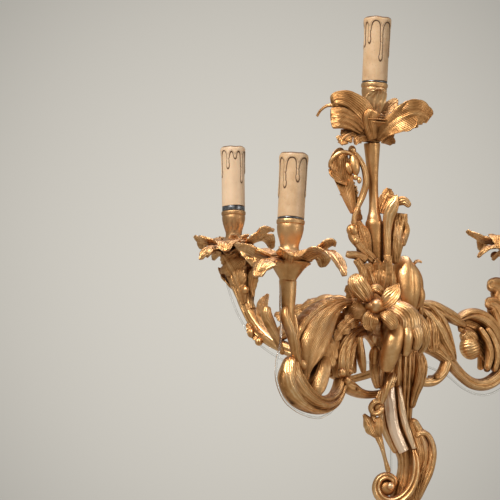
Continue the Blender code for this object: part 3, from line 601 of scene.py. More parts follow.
def left_arm():
    """Smooth tube in a leafy sheath under the light, with small leaves beside it."""
    face = (0, 1, 0)
    return [
        ribbon([(192, 0, 364, 8.4, 8.4), (189, 0, 352, 8, 8.2), (183, 0, 335, 7.4, 7.6),
                (175, 0, 316, 7.3, 7.6), (163, 0, 296.5, 7.4, 7.6), (148, 0, 281, 7.4, 7.6),
                (130, 0, 271, 7, 7.4), (112, 0, 264, 7.6, 8), (90, 0, 258, 8.2, 8.2), (70, 0, 262, 8.6, 8.2),
                (50, 0, 273, 9, 8), (30, 0, 284, 8, 8), (10, 0, 290, 7, 7)], face, flutes=2, cut=0.16, hair=2,
               blunt=(True, False), n=150, m=60, seed=21),
        # sheath of the riser, with a clasp near its foot
        ribbon([(170, 0, 311, 6.8, 7.4), (175, 0, 319, 7.6, 8.2), (179, 0, 328, 8.4, 8.8),
                (183, 0, 338, 9.6, 9.6), (187, 0, 349, 11.5, 10.5), (190, 0, 359, 13, 11)], face, flutes=3,
               cut=0.3, blunt=(True, True), hair=5, m=60, seed=22),
        blade([(174, 8, 318, 4), (177, 10, 332, 9), (181, 12, 346, 14), (186, 14, 358, 18),
               (190, 18, 368, 12), (192, 22, 374, 4)], (0.1, 1, 0.1), cup=-0.3, lobes=4, notch=0.3, hair=10,
              seed=23),
        blade([(174, -8, 318, 4), (177, -10, 332, 9), (181, -12, 346, 14), (186, -14, 358, 16),
               (190, -18, 368, 8)],
              (0.1, -1, 0.1), cup=-0.3, lobes=4, notch=0.3, hair=10, seed=24),
        blade([(166, 2, 326, 3), (167, 3, 338, 6), (164, 4, 349, 8), (158, 5, 357, 6), (153, 5, 353, 2)],
              (-0.4, 1, 0.2), cup=-0.3, lobes=2, notch=0.2, seed=25),
        ball((171, 9, 334), (4.4, 4.4, 3.4), lobes=0, axis=(0, 1, 0)),
        blade([(178, 0, 316, 4), (186, 0, 328, 7), (196, 0, 340, 9), (206, 0, 350, 8), (213, 0, 362, 3)],
              (1, 0, -0.5), cup=-0.3, lobes=5, notch=0.35, seed=26),
        # smooth leaf on the inside, small curled leaves on the outside
        blade([(136, 2, 279, 3), (146, 3, 292, 6), (152, 3, 306, 7.5), (151, 2, 319, 6), (146, 1, 329, 1.5)],
              (-0.2, 1, -0.1), cup=0.25, lobes=2, notch=0.12, teeth=0.03, seed=27),
        blade([(143, 4, 276, 3), (153, 5, 281, 7), (163, 5, 288, 7.5), (172, 4, 297, 3)], (0.1, 1, -0.3),
              cup=0.3, lobes=3, notch=0.25, seed=28),
        ball((165, 6, 286), (5, 4.4, 5.4), lobes=4, cut=0.2),
        ball((155, 6, 276), (4.6, 4.4, 4.6), lobes=3, cut=0.2),
        # long acanthus over the inner half
        ribbon([(34, 0, 306, 5, 6), (52, 0, 314, 8, 8), (76, 0, 312, 12, 9.5), (100, 0, 302, 13, 9),
                (120, 0, 290, 10, 8), (136, 0, 280, 5, 5)], face, flutes=3, cut=0.3, hair=9, lobes=7,
               edge=0.14, n=110, m=72, seed=29),
        blade([(44, 5, 312, 4), (70, 8, 318, 8), (96, 9, 312, 10), (118, 8, 304, 9), (134, 6, 306, 4)],
              (0.1, 1, 0.5), cup=-0.3, lobes=6, notch=0.4, seed=30),
        blade([(44, -5, 312, 4), (70, -8, 318, 8), (96, -9, 312, 10), (118, -8, 304, 9), (134, -6, 306, 4)],
              (0.1, -1, 0.5), cup=-0.3, lobes=6, notch=0.4, seed=31),
        ribbon([(88, 0, 258, 6, 6.5), (76, 0, 246, 5, 6), (62, 0, 237, 4.4, 5), (46, 0, 233, 4, 5),
                (28, 0, 236, 4, 5), (6, 0, 242, 4.5, 5)], face, flutes=2, cut=0.25, seed=32),
        ribbon([(36, 0, 300, 6, 7), (44, 0, 288, 7, 7), (48, 0, 276, 6, 6)], face, flutes=2, cut=0.2,
               seed=33),
    ]


def right_arm():
    """Broad leaf at the hub, a long dipping tube with a ball in a folded leaf over it, and a leafy riser."""
    face = (0, 1, 0)
    parts = [
        ribbon([(8, 0, 280, 7, 7), (26, 0, 278, 7.5, 7.5), (44, 0, 272, 8, 8), (62, 0, 265, 8, 8),
                (77, 0, 256, 7, 7.5), (87, 0, 246, 6, 7), (99, 0, 236, 5.8, 6.8), (113, 0, 229, 6.2, 7),
                (129, 0, 229, 7, 7.4), (145, 0, 237, 7.6, 7.6), (157, 0, 251, 7.8, 7.8),
                (166, 0, 271, 7.8, 7.8), (171, 0, 296, 7.8, 7.8), (175, 0, 324, 7.8, 8),
                (177, 0, 346, 8.2, 8.2), (178, 0, 361, 8.4, 8.4)], face, flutes=2, cut=0.3, hair=5,
               blunt=(False, True), n=170, m=60, seed=41),
        # broad leaf with two deep folds, and the ridge that runs out from it
        ribbon([(26, 0, 306, 5, 7), (38, 0, 309, 8.5, 9), (51, 0, 302, 14, 10), (62, 0, 288, 17, 11),
                (71, 0, 272, 14.5, 10.5), (79, 0, 259, 9.5, 9), (84, 0, 249, 5, 6)], face, flutes=3, cut=0.66,
               hair=8, n=110, m=84, seed=44, roam=0.9),
        ribbon([(38, 0, 312, 4, 6), (57, 0, 311, 6.5, 8), (74, 0, 305, 7, 8), (90, 0, 298, 6, 7),
                (104, 0, 290, 2.5, 4)],
               face, flutes=2, cut=0.3, hair=4, n=80, m=56, seed=43),
        # strut with a smooth bend
        ribbon([(80, 0, 262, 7, 7), (76, 0, 249, 6, 6.4), (69, 0, 238, 5.6, 6), (58, 0, 231, 5.4, 5.6),
                (44, 0, 230, 4.6, 5), (30, 0, 233, 4.2, 5), (4, 0, 240, 4.5, 5)], face, flutes=1, cut=0.08,
               hair=2, seed=48),
        # ball with lines round it
        ball((109, 0, 268), (11.5, 10.5, 13.5), lobes=0, axis=(0.35, 0, -1), hair=4.0, m=60, n=40, seed=49),
        ribbon([(99, 0, 284, 4, 5), (104, 0, 281, 8, 7), (110, 0, 277, 9, 8), (114, 0, 272, 5, 6)], face,
               flutes=2, cut=0.1, seed=50),
        # leaf folded over the ball
        ribbon([(90, 0, 297, 3.5, 6), (106, 0, 304, 6, 9), (122, 0, 302, 8, 10.5), (137, 0, 291, 9, 10.5),
                (146, 0, 274, 7.5, 9), (148, 0, 256, 4, 6)], face, flutes=2, cut=0.4, hair=6, n=100, m=72,
               seed=51),
        blade([(94, 0, 290, 6), (108, 0, 289, 11), (124, 0, 281, 15), (136, 0, 266, 14), (143, 0, 250, 8)],
              (0, 1, 0), cup=0, lobes=2, notch=0.05, puff=0, thick=3, seed=59),
        # two striped lobes rising on the riser, their tips curling inwards
        ribbon([(160, 0, 240, 6, 7), (156, 0, 262, 9, 9), (153, 0, 286, 12, 10), (150, 0, 304, 12, 10),
                (142, 0, 316, 9, 8), (132, 0, 318, 5, 5)], face, flutes=3, cut=0.3, hair=10, n=100, m=64,
               seed=56),
        ribbon([(168, 0, 282, 8, 8), (162, 0, 304, 13, 10), (157, 0, 324, 14, 10), (148, 0, 336, 11, 8.5),
                (136, 0, 338, 5.5, 6)], face, flutes=3, cut=0.3, hair=11, n=100, m=64, seed=57),
        blade([(170, 0, 300, 4), (180, 0, 320, 9), (188, 0, 340, 10), (196, 0, 356, 4)], (1, 0, -0.4),
              cup=-0.3, lobes=5, notch=0.3, seed=58),
    ]
    for side in (1, -1):
        parts += [
            blade([(34, 7 * side, 308, 4), (36, 9 * side, 298, 5), (41, 10 * side, 286, 6),
                   (43, 10 * side, 274, 3)],
                  (-0.4, side, 0), cup=-0.3, lobes=3, notch=0.35, seed=46),
            blade([(50, 8 * side, 300, 5), (52, 10 * side, 286, 9), (53, 10 * side, 271, 9),
                   (55, 9 * side, 262, 4)],
                  (-0.1, side, 0), cup=-0.2, lobes=1.5, notch=0.12, teeth=0.03, hair=4, seed=47),
            ribbon([(117, 6 * side, 290, 3, 4), (126, 7 * side, 276, 4, 5), (130, 7 * side, 260, 4.5, 5),
                    (127, 6 * side, 244, 3, 4)], face, flutes=1, cut=0.1, hair=2, seed=52),
            ribbon([(127, 6 * side, 290, 3, 4), (136, 7 * side, 274, 4.5, 5), (139, 7 * side, 258, 4.5, 5),
                    (136, 6 * side, 242, 3, 4)], face, flutes=1, cut=0.1, hair=2, seed=53),
        ]
    return parts


def make_arms():
    for key, shape in (("front", front_arm), ("left", left_arm), ("right", right_arm)):
        matrix = arm_matrix(key)
        parts = [moved(part, matrix) for part in shape()]
        add_mesh("arm_" + key + "_casting", parts, GILT, "frame", ["arm_" + key])


# ---------------------------------------------------------------- lights

# two petals that come back on several pans: (radius, height, half width) from the middle out
BROAD_PETAL = [(10, 20, 7), (22, 26, 14), (36, 31, 17), (45, 28, 12), (49, 20, 4)]
ROUND_PETAL = [(10, 20, 7), (22, 25, 14), (36, 30, 17), (46, 27, 12), (50, 18, 4)]
PETALS = {
    # for each petal: azimuth, cup, seed, then (radius, height, half width) from the middle out
    "top": [
        (181, -0.25, 1, [(10, 20, 6), (24, 31, 9), (38, 36, 6), (47, 36, 3.5), (54, 31, 1.6), (58, 24, 0.8)]),
        (25, -0.20, 5, [(10, 20, 7), (24, 27, 12), (38, 31, 13), (48, 28, 9), (53, 20, 4)]),
        (72, 0.30, 6, [(10, 20, 7), (22, 26, 14), (36, 31, 17), (47, 28, 13), (52, 18, 5)]),
        (125, 0.30, 7, [(10, 18, 7), (22, 24, 14), (36, 29, 17), (48, 26, 13), (54, 18, 5)]),
    ],
    "front": [
        (188, 0.30, 11, [(10, 18, 7), (24, 21, 14), (38, 26, 16), (48, 30, 12), (53, 34, 5)]),
        (226, -0.20, 12, [(10, 17, 7), (22, 19, 14), (33, 17, 15), (40, 9, 11), (43, 1, 5)]),
        (276, 0.35, 13, [(10, 16, 7), (20, 19, 14), (32, 24, 17), (40, 24, 12), (43, 20, 4)]),
        (322, 0.30, 14, [(10, 18, 7), (24, 23, 13), (38, 28, 15), (50, 24, 12), (60, 14, 8), (65, 5, 4)]),
        (358, 0.40, 15, [(10, 18, 7), (22, 24, 13), (32, 33, 15), (40, 39, 12), (45, 38, 5)]),
        (45, 0.30, 16, BROAD_PETAL),
        (92, 0.30, 17, ROUND_PETAL),
        (140, 0.30, 18, [(10, 20, 7), (22, 26, 14), (36, 31, 16), (45, 32, 12), (50, 26, 4)]),
    ],
    "left": [
        (186, 0.30, 21, [(10, 18, 7), (22, 22, 13), (33, 25, 15), (41, 28, 11), (45, 33, 4)]),
        (214, -0.30, 22, [(10, 17, 7), (22, 19, 13), (34, 18, 14), (42, 11, 10), (45, 4, 3)]),
        (258, 0.30, 23, [(10, 17, 7), (20, 20, 14), (31, 22, 16), (39, 18, 11), (42, 11, 4)]),
        (300, -0.30, 24, [(10, 16, 7), (22, 18, 13), (34, 16, 15), (43, 6, 11), (47, -6, 4)]),
        (342, 0.35, 25, [(10, 18, 7), (22, 24, 13), (34, 32, 14), (42, 37, 11), (47, 36, 4)]),
        (30, 0.30, 26, BROAD_PETAL),
        (85, 0.30, 27, ROUND_PETAL),
        (138, 0.30, 28, [(10, 20, 7), (22, 26, 14), (36, 31, 16), (45, 30, 12), (50, 22, 4)]),
    ],
    "right": [
        (184, 0.35, 31, [(10, 20, 7), (24, 24, 12), (38, 26, 12), (48, 31, 9), (55, 35, 7), (58, 38, 4)]),
        (200, -0.30, 32, [(12, 20, 5), (26, 21, 9), (38, 19, 9), (46, 13, 6), (50, 7, 2)]),
        (238, 0.30, 33, [(10, 20, 7), (22, 24, 14), (36, 28, 17), (46, 24, 12), (50, 14, 4)]),
        (288, 0.30, 34, [(10, 20, 7), (22, 25, 14), (36, 30, 17), (46, 31, 12), (51, 26, 4)]),
        (338, 0.30, 35, [(10, 20, 7), (22, 25, 14), (36, 30, 17), (47, 26, 12), (51, 16, 4)]),
        (30, 0.30, 36, [(10, 20, 7), (22, 26, 14), (36, 31, 17), (46, 32, 12), (51, 28, 4)]),
        (85, 0.30, 37, ROUND_PETAL),
        (135, 0.30, 38, [(10, 20, 7), (22, 26, 14), (36, 31, 16), (45, 29, 12), (49, 20, 4)]),
    ],
}


def petal(azimuth, cup, seed, rows):
    """One petal of a drip pan, from the middle out to a curled and lobed tip."""
    angle = math.radians(azimuth)
    c, s = math.cos(angle), math.sin(angle)
    path = np.array([(r, z) for r, z, _ in spline(rows, 84)])
    slope = unit(np.gradient(path, axis=0))
    facing = np.stack([-slope[:, 1] * c, -slope[:, 1] * s, slope[:, 0]], axis=1)
    return blade([(r * c, r * s, z, w) for r, z, w in rows], facing, cup=0.7 * cup, thick=2.6, lobes=2.5,
                 notch=0.18, curl=0.06 * math.copysign(1, cup), puff=0.14, veins=4, sweep=0.14, seed=seed,
                 n=84, m=40, teeth=0.05, middle=-0.07)


def make_pan(key, place):
    disc = turned([(4.6, 20.3), (18, 20.3), (22.6, 21.0), (23.4, 22.4), (17, 23.3), (4.6, 23.3)], 64)
    petals = [petal(*values) for values in PETALS[key]]
    parts = [moved(worn(part, TOP_PAN_WEAR if key == "top" else 0.0), place) for part in [disc] + petals]
    add_mesh("pan_" + key + "_petals", parts, GILT, "frame", ["pan_" + key], loops=(0,))


def make_calyx(key, place):
    """Funnel between the arm and the pan, softly faceted, with leaves laid on some of them."""
    facets = {"front": 5, "left": 9, "right": 9, "top": 4}[key]

    def lobed(phi, radius, height):
        swell = np.clip((radius - 9) / 9, 0, 1)
        groove = ridge(facets * phi / TAU + 0.3, 0.5)
        scratch = 0.12 * np.sin(46 * phi + 0.6 * height)
        return (radius * (1 - 0.13 * swell * (1 - groove)) + scratch * swell, height,
                0.45 + 0.35 * groove * np.ones_like(radius))
    cup = turned([(4.4, 0), (8.4, 0), (8.6, 0.8), (8.1, 1.8), (8.9, 4), (12, 8.4), (15, 13), (19, 17.0),
                  (22, 18.6), (21.4, 20.1), (4.4, 20.1)], 120, lobed)
    leaves = []
    count = {"front": 0, "left": 6, "right": 6, "top": 0}[key]
    for i in range(count):
        angle = TAU * (i + 0.3) / count
        c, s = math.cos(angle), math.sin(angle)
        leaves.append(blade([(8.6 * c, 8.6 * s, 3, 2.5), (12.4 * c, 12.4 * s, 7, 5.5),
                             (18 * c, 18 * s, 11.5, 8), (26 * c, 26 * s, 13, 7.5), (32 * c, 32 * s, 8, 3)],
                            (c * 0.5, s * 0.5, -0.8), cup=-0.25, lobes=3, notch=0.25, seed=60 + i, n=60,
                            m=24))
    if key == "top":
        leaves = top_bracts()
    parts = [moved(worn(part, TOP_PAN_WEAR if key == "top" else 0.0), place) for part in [cup] + leaves]
    add_mesh("calyx_" + key + "_leaves", parts, GILT, "frame", ["calyx_" + key], loops=(0,))


def top_bracts():
    """Broad leaves that sweep up and out of the foot of the top light, and smaller ones under them."""
    return [
        blade([(1, -7, 2, 6), (-5, -13, 11, 13), (-15, -19, 23, 19), (-27, -22, 33, 17), (-38, -21, 37, 11),
               (-44, -19, 35, 4)], (0.25, -1, -0.35), cup=-0.12, lobes=1.5, notch=0.06, teeth=0.02, thick=2.4,
              hair=9, middle=0.05, n=90, m=44, seed=70),
        ribbon([(-10, -15, 10, 5, 3), (-22, -21, 17, 8.5, 3.2), (-34, -23, 21, 11, 3.2),
                (-45, -21, 20, 10.5, 3)],
               (0, -1, -0.1), flutes=4, cut=0.5, hair=8, blunt=(False, False), m=64, seed=71),
        blade([(5, -8, 2, 5), (14, -14, 14, 11), (27, -18, 24, 14.5), (41, -18, 30, 14), (52, -16, 29, 10.5),
               (57, -15, 26, 6)], (0, -1, -0.25), cup=0.16, lobes=2, notch=0.08, teeth=0.05, thick=2.6,
              hair=11, middle=0.03, n=90, m=44, seed=72),
        ribbon([(0, -9, 2, 5, 3.5), (-3, -14, 12, 8, 4), (-4, -18, 22, 9, 4), (0, -20, 31, 7, 3)],
               (0.1, -1, -0.3), flutes=2, cut=0.3, hair=5, seed=73),
        blade([(-15, -13, 10, 4), (-23, -17, 7, 8), (-30, -19, 1, 8.5), (-34, -19, -5, 4)], (-0.2, -1, 0.1),
              cup=-0.2, lobes=3, notch=0.4, n=70, m=34, seed=74),
        blade([(-2, -8, 4, 3), (-10, -14, 4, 6), (-16, -17, 0, 5), (-18, -17, -5, 2)], (0, -1, 0.2), cup=-0.2,
              lobes=2, notch=0.3, seed=75),
        blade([(6, 8, 4, 4), (12, 14, 8, 8), (18, 20, 8, 9), (24, 25, 2, 4)], (0.4, 0.8, 0.4), cup=-0.3,
              lobes=3, notch=0.3, seed=76),
    ]


def make_nozzle(key, place):
    """Vase-shaped nozzle with a banded rim and chased leaves on its belly."""
    def chased(phi, radius, height):
        middle, least = (42, 9.4) if key == "left" else (47, 11.95)
        belly = np.exp(-((height - middle) / 7) ** 2) * (radius > least)
        leaf = ridge((11 if key == "left" else 7) * phi / TAU + 0.08 * np.sin(height), 0.7)
        scratch = np.sin(60 * phi + height)
        band = np.exp(-((height - 57.6) / 1.2) ** 2) * (radius > 13)
        hammered = ridge(11 * phi / TAU + 0.3 * np.sin(3 * phi), 0.8)
        strength = {"front": 0.3, "left": 1.6, "right": 0.8, "top": 0.5}[key]
        fluted = radius * (1 - 0.045 * strength * belly * (1 - leaf))
        grown = fluted - 0.4 * band * (1 - hammered) + 0.05 * scratch * belly
        dark = 0.55 - (0.45 + 0.5 * belly * (1 - leaf) if key == "left" else 0)
        return grown, height, dark + 0.3 * leaf * belly * strength + 0.2 * band * hammered
    body = turned([(4.6, 23.6), (16.5, 23.6), (18.5, 24.4), (17.5, 26), (13.6, 28), (10.6, 30.2), (9.2, 33),
                   (9.1, 36), (10.0, 39.6), (11.2, 43.2), (12.35, 47.2), (12.9, 50.4), (13.2, 53), (13.1, 55),
                   (12.8, 56), (13.8, 56.8), (13.9, 59.6), (13.4, 60.6), (12.9, RIM_HEIGHT),
                   (12.1, RIM_HEIGHT), (11.95, 46), (4.6, 42)], 136, chased)
    parts = [body]
    # leaves standing round the foot: azimuth, top, half width
    leaves = {"top": [(40, 44, 8), (110, 46, 9), (190, 40, 7)],
              "left": [(330, 33, 7), (30, 34, 7), (90, 34, 7), (150, 33, 7), (270, 32, 6)], "front": [],
              "right":
              [(210, 34, 7), (280, 34, 7), (340, 34, 7), (60, 33, 7), (130, 34, 7)]}[key]
    for i, (azimuth, tall, wide) in enumerate(leaves):
        angle = math.radians(azimuth)
        c, s = math.cos(angle), math.sin(angle)
        rows = [(r * c, r * s, 25 + (tall - 25) * h, w * wide)
                for r, h, w in ((12, 0, 0.5), (13.5, 0.28, 0.9), (14.6, 0.6, 1.0), (16.2, 0.88, 0.62),
                                (19.4, 1.0, 0.15))]
        parts.append(blade(rows, (c, s, 0.1), cup=-0.22, lobes=2, notch=0.12, teeth=0.04, seed=80 + i, n=60,
                           m=30))
    if key == "top":
        parts += [blade([(-1, -13, 27, 7), (0, -15, 37, 10.5), (2, -16.5, 45, 10.5), (3, -19, 51, 8),
                         (3, -22, 53, 4)],
                        (0, -1, 0.1), cup=0.22, lobes=1, notch=0.04, teeth=0.02, hair=3, m=40, seed=86),
                  blade([(9, -12, 28, 4), (15, -13, 36, 6), (20, -14, 41, 4.5), (23, -14, 44, 1.5)],
                        (0.2, -1, 0), cup=0.25, lobes=1, notch=0.05, teeth=0.02, seed=87)]
    parts = [moved(part, place) for part in parts]
    add_mesh("nozzle_" + key + "_vase", parts, BRASS, "frame", ["nozzle_" + key], loops=(0,))


# Drips on each sleeve: angle round it in degrees, length below the top
DRIPS = {
    "top": [(232, 27), (288, 45), (200, 30), (345, 40), (30, 28), (75, 38), (115, 24), (157, 33)],
    "front": [(233, 34), (289, 28), (190, 43), (346, 42), (30, 30), (75, 24), (115, 38), (152, 28)],
    "left": [(246, 25), (317, 41), (200, 34), (282, 14), (358, 30), (40, 28), (80, 38), (118, 24), (158, 32)],
    "right": [(215, 30), (252, 38), (290, 24), (330, 33), (12, 27), (55, 36), (98, 24), (140, 33), (176, 26)],
}


def drip_field(theta, depth, key):
    """Wax on a sleeve: how many mm inside it each point lies, negative outside; depth is from the top."""
    collar = 5.4 + 0.5 * np.sin(2 * theta + len(key))
    inside = collar - depth
    for i, (azimuth, length) in enumerate(DRIPS[key]):
        centre = math.radians(azimuth)
        around = (np.mod(theta - centre + math.pi, TAU) - math.pi) * 13.4
        flow = around - 0.3 * np.sin(depth * 0.22 + i)
        # wide where it leaves the collar, then a thin run with a bead at its end
        width = 1.2 + 4.6 * np.exp(-np.maximum(depth - collar + 1.0, 0) / 3.2)
        width = width - 0.5 * np.exp(-((depth - 0.62 * length) / 0.9) ** 2)
        shaft = np.minimum(width - np.abs(flow), length - depth)
        bead = 1.7 - np.hypot(flow, 0.45 * (depth - length + 2.6))
        inside = np.logaddexp(1.5 * inside, 1.5 * np.maximum(shaft, bead)) / 1.5
    return inside


def make_sleeve(key, place):
    """Candle sleeve, which lifts off: a plain tube below, a waxed and dripping top."""
    light = LIGHTS[key]
    low = RIM_HEIGHT + light["raise"] + SLEEVE_FOOT
    top = RIM_HEIGHT + light["raise"] + light["sleeve"]
    around, rows = 280, 180
    theta = (TAU * np.arange(around) / around)[None, :]
    height = np.linspace(low, top - 3.2, rows)[:, None] * np.ones_like(theta)
    depth = top - height
    seed = len(key)
    inside = drip_field(theta, depth, key)
    raised = WAX_THICKNESS / (1 + np.exp(-(inside - 0.15) * 4.0))
    base = SLEEVE_RADIUS + 0.45 * np.clip((height - low) / (top - low) - 0.45, 0, 1) ** 1.3
    outer = base + raised + 0.3 * np.exp(-((depth - 6) / 5) ** 2)
    stain = np.exp(-((inside + 0.22) / (0.42 + 0.3 * np.exp(-((depth - 7) / 3) ** 2))) ** 2)
    stain = np.maximum(stain, 0.8 * np.exp(-((height - low) / 0.8) ** 2)
                       * (0.5 + 0.5 * np.sin(2 * theta + seed)))
    stain = np.maximum(stain, 0.7 * np.exp(-((inside - 1.5) / 0.22) ** 2) * (depth < 11) * (depth > 4.6))
    rim_r = [14.3, 14.05, 13.5, 12.9, 12.35, 11.98]
    rim_z = [top - 2.4, top - 1.4, top - 0.55, top - 0.15, top - 0.35, top - 1.2]
    lump = 0.22 * np.sin(4 * theta + seed) + 0.15 * np.sin(7 * theta + 1)
    rim = np.concatenate([r + 0.3 * lump for r in rim_r])
    rim_h = np.concatenate([h + lump - 0.3 for h in rim_z])
    rim_stain = np.concatenate([mark * np.ones_like(theta) for mark in (0.1, 0.45, 0.8, 0.75, 0.7, 0.7)])
    inner_z = np.linspace(top - 3, low, 6)
    inner = np.full((len(inner_z), around), SLEEVE_BORE)
    radius = np.concatenate([outer, rim, inner])
    level = np.concatenate([height, rim_h, inner_z[:, None] * np.ones_like(theta)])
    marks = np.concatenate([stain, rim_stain, np.full(inner.shape, 0.35)])
    rings = np.stack([radius * np.cos(theta), radius * np.sin(theta), level], axis=-1)
    piece = add_mesh("candle_sleeve_" + key + "_waxed", [moved((rings, marks), place)],
                     IVORY_PALE if key == "left" else IVORY, "sleeve_" + key,
                     ["candle_sleeve_" + key], loops="all")
    values = piece.data.attributes.new("stain", "FLOAT", "POINT")
    values.data.foreach_set("value", marks.astype(np.float32).ravel())


def make_fittings(key, place):
    """Seat ring, lampholder and socket shell, finer than the model's."""
    light = LIGHTS[key]
    lift = light["raise"]
    seat = RIM_HEIGHT + lift + SLEEVE_FOOT
    collar = [(10.6, 46.6), (11.55, 46.6), (11.55, RIM_HEIGHT + 0.4), (12.9, RIM_HEIGHT + 0.4),
              (12.9, seat - 0.2), (11.55, seat - 0.2), (11.55, RIM_HEIGHT + 4.8 + lift),
              (10.6, RIM_HEIGHT + 4.8 + lift)]
    ring = moved(turned(collar, 72, rounds=1, keep=0.12), place)
    add_mesh("seat_ring_" + key + "_turned", [ring], STEEL, "frame", ["seat_ring_" + key],
             loops="all")
    top = RIM_HEIGHT + lift + light["sleeve"]
    holder = turned([(4.4, 46.6), (10.2, 46.6), (10.2, 49), (6.4, 50.5), (6.4, top - 46), (11.0, top - 40),
                     (11.0, top - 6), (9.3, top - 6), (9.3, top - 34), (4.4, top - 34)], 72, rounds=1,
                    keep=0.08)
    add_mesh("lampholder_" + key + "_moulding", [moved(holder, place)], BLACK, "frame",
             ["lampholder_" + key], loops="all")

    def threaded(phi, radius, height):
        wave = 0.22 * np.sin(TAU * height / 2.82 + phi) * (height > top - 31) * (height < top - 8)
        return radius + wave, height, np.full(radius.shape, 0.6)
    steps = 40
    walls = ([(8.75, top - 33 + 25 * i / steps) for i in range(steps + 1)]
             + [(8.1, top - 8 - 24 * i / steps) for i in range(steps + 1)])
    shell = turned([(3, top - 33.6)] + walls + [(3, top - 32.6)], 72, threaded, rounds=0)
    add_mesh("socket_shell_" + key + "_thread", [moved(shell, place)], BRASS, "frame",
             ["socket_shell_" + key], loops="all")


def make_lights():
    for key in LIGHTS:
        place = light_matrix(key)
        make_calyx(key, place)
        make_pan(key, place)
        make_nozzle(key, place)
        make_fittings(key, place)
        make_sleeve(key, place)


# ---------------------------------------------------------------- stem and hub

def make_upper_stem():
    """Tapering tube with a collar where its lower half ends."""
    def chased(phi, radius, height):
        facet = ridge(7 * phi / TAU, 0.5) * np.exp(-((height - 24) / 22) ** 2)
        return (radius * (1 + 0.015 * np.sin(5 * phi + height / 9)) - 0.25 * (1 - facet), height,
                0.62 + 0.2 * np.sin(phi * 2 + height / 14))
    place = stem_matrix()
    tube = turned([(3.4, 0), (6.6, 0), (7.6, 6), (8.2, 16), (8.5, 28), (8.7, 40), (9.2, 46.5), (9.5, 49),
                   (9.2, 51.5), (7.9, 53.5), (7.4, 57), (6.1, 61), (5.4, 66), (5.1, 74), (5.2, 86),
                   (5.9, 100), (7.2, 115), (8.3, 127), (8.7, 131), (8.6, STEM_LENGTH), (3.4, STEM_LENGTH)],
                  90, chased)
    add_mesh("upper_stem_tube", [moved(tube, place)], GILT, "frame", ["upper_stem"],
             loops="all")
    add_mesh("stem_leaf_left_casting", left_stem_leaf(), GILT, "frame", ["stem_leaf_left"])
    add_mesh("stem_leaf_right_casting", right_stem_leaf(), GILT, "frame", ["stem_leaf_right"])


def left_stem_leaf():
    """Stalk with knuckles that opens into a cupped leaf round a bud."""
    return [
        # the cup, open to the front and left, and the small petal under it
        blade([(-52, -46, 400, 3), (-56, -49, 414, 7.5), (-60, -50, 428, 10), (-64, -50, 441, 12),
               (-66, -51, 452, 12), (-64, -52, 460, 9), (-60, -52, 464, 4)], (0.1, -1, 0.15), cup=0.55,
              lobes=1, notch=0.04, teeth=0.05, thick=2.4, middle=0, hair=7, m=40, seed=90),
        ribbon([(-52, -55, 459, 2, 2), (-60, -60, 462, 2, 2), (-68, -61, 460, 2.2, 2),
                (-75, -58, 453, 2.2, 2), (-76, -54, 446, 2, 2)], (0, -1, 0.5), flutes=1, cut=0.1, hair=0,
               seed=89),
        blade([(-58, -52, 431, 4), (-66, -55, 434, 6), (-73, -57, 439, 4), (-77, -57, 445, 1.2)],
              (0.1, -1, 0.4), cup=0.3, lobes=1, notch=0.05, seed=91),
        # bud and knob
        ball((-51, -54, 450), (5.4, 5.4, 11.5), lobes=0, axis=(-0.18, 0, 1), point=0.2),
        ball((-57, -55, 446), (3.6, 3.6, 6.5), lobes=4, cut=0.2, axis=(-0.3, 0, 1)),
        ball((-53, -53, 465), (4.1, 4.1, 5.2), lobes=0, axis=(-0.1, 0, 1)),
        ball((-50, -54, 437), (2.8, 2.8, 3.4), lobes=0), ball((-46, -53, 434), (2.4, 2.4, 3.6), lobes=0),
        # serrated flank and the smooth band beside it
        blade([(-46, -43, 400, 3), (-51, -46, 411, 7), (-56, -49, 423, 10), (-58, -51, 434, 6)],
              (-0.2, -1, 0.1), cup=0.2, lobes=7, notch=0.22, teeth=0.16, seed=92),
        ribbon([(-51, -45, 384, 3, 3), (-51, -46, 396, 2.6, 2.8), (-47, -47, 408, 3, 3),
                (-42, -48, 420, 3.6, 3), (-39, -50, 432, 3.4, 3), (-41, -52, 446, 3, 2.6),
                (-46, -54, 456, 2.8, 2.4), (-52, -54, 464, 2, 2)],
               (0.1, -1, 0.1), flutes=1, cut=0.12, hair=2, seed=93),
        # knuckles and stalk
        ribbon([(-30, -37, 352, 5, 4.5), (-38, -41, 360, 5, 4.5), (-46, -44, 368, 4.4, 4),
                (-52, -45, 378, 5.6, 5), (-51, -45, 390, 3.4, 3.4)], (0, -1, 0), flutes=2, cut=0.3, seed=94),
        ball((-53, -47, 383), (6.0, 5.5, 6.8), lobes=3, cut=0.25, axis=(-0.4, 0, 1), seed=95),
        ball((-50, -46, 372), (4.6, 4.6, 4.6), lobes=3, cut=0.15, seed=96),
        ribbon([(-38, -42, 352, 4.5, 4), (-48, -45, 357, 4.2, 4), (-56, -46, 358, 3.8, 3.6),
                (-60, -46, 359, 3, 3)],
               (0, -1, 0.3), flutes=1, cut=0.1, seed=97),
        # striped leaf between the stalk and the stem
        blade([(-36, -43, 356, 4), (-39, -45, 368, 7), (-43, -46, 380, 7), (-47, -46, 392, 3)],
              (0.1, -1, 0.1), cup=-0.15, lobes=1, notch=0.05, teeth=0.02, veins=12, seed=98),
        blade([(-40, -32, 352, 4), (-46, -31, 372, 7), (-48, -31, 392, 7), (-46, -32, 408, 3)], (-0.4, 1, 0),
              cup=-0.3, lobes=4, seed=99),
    ]


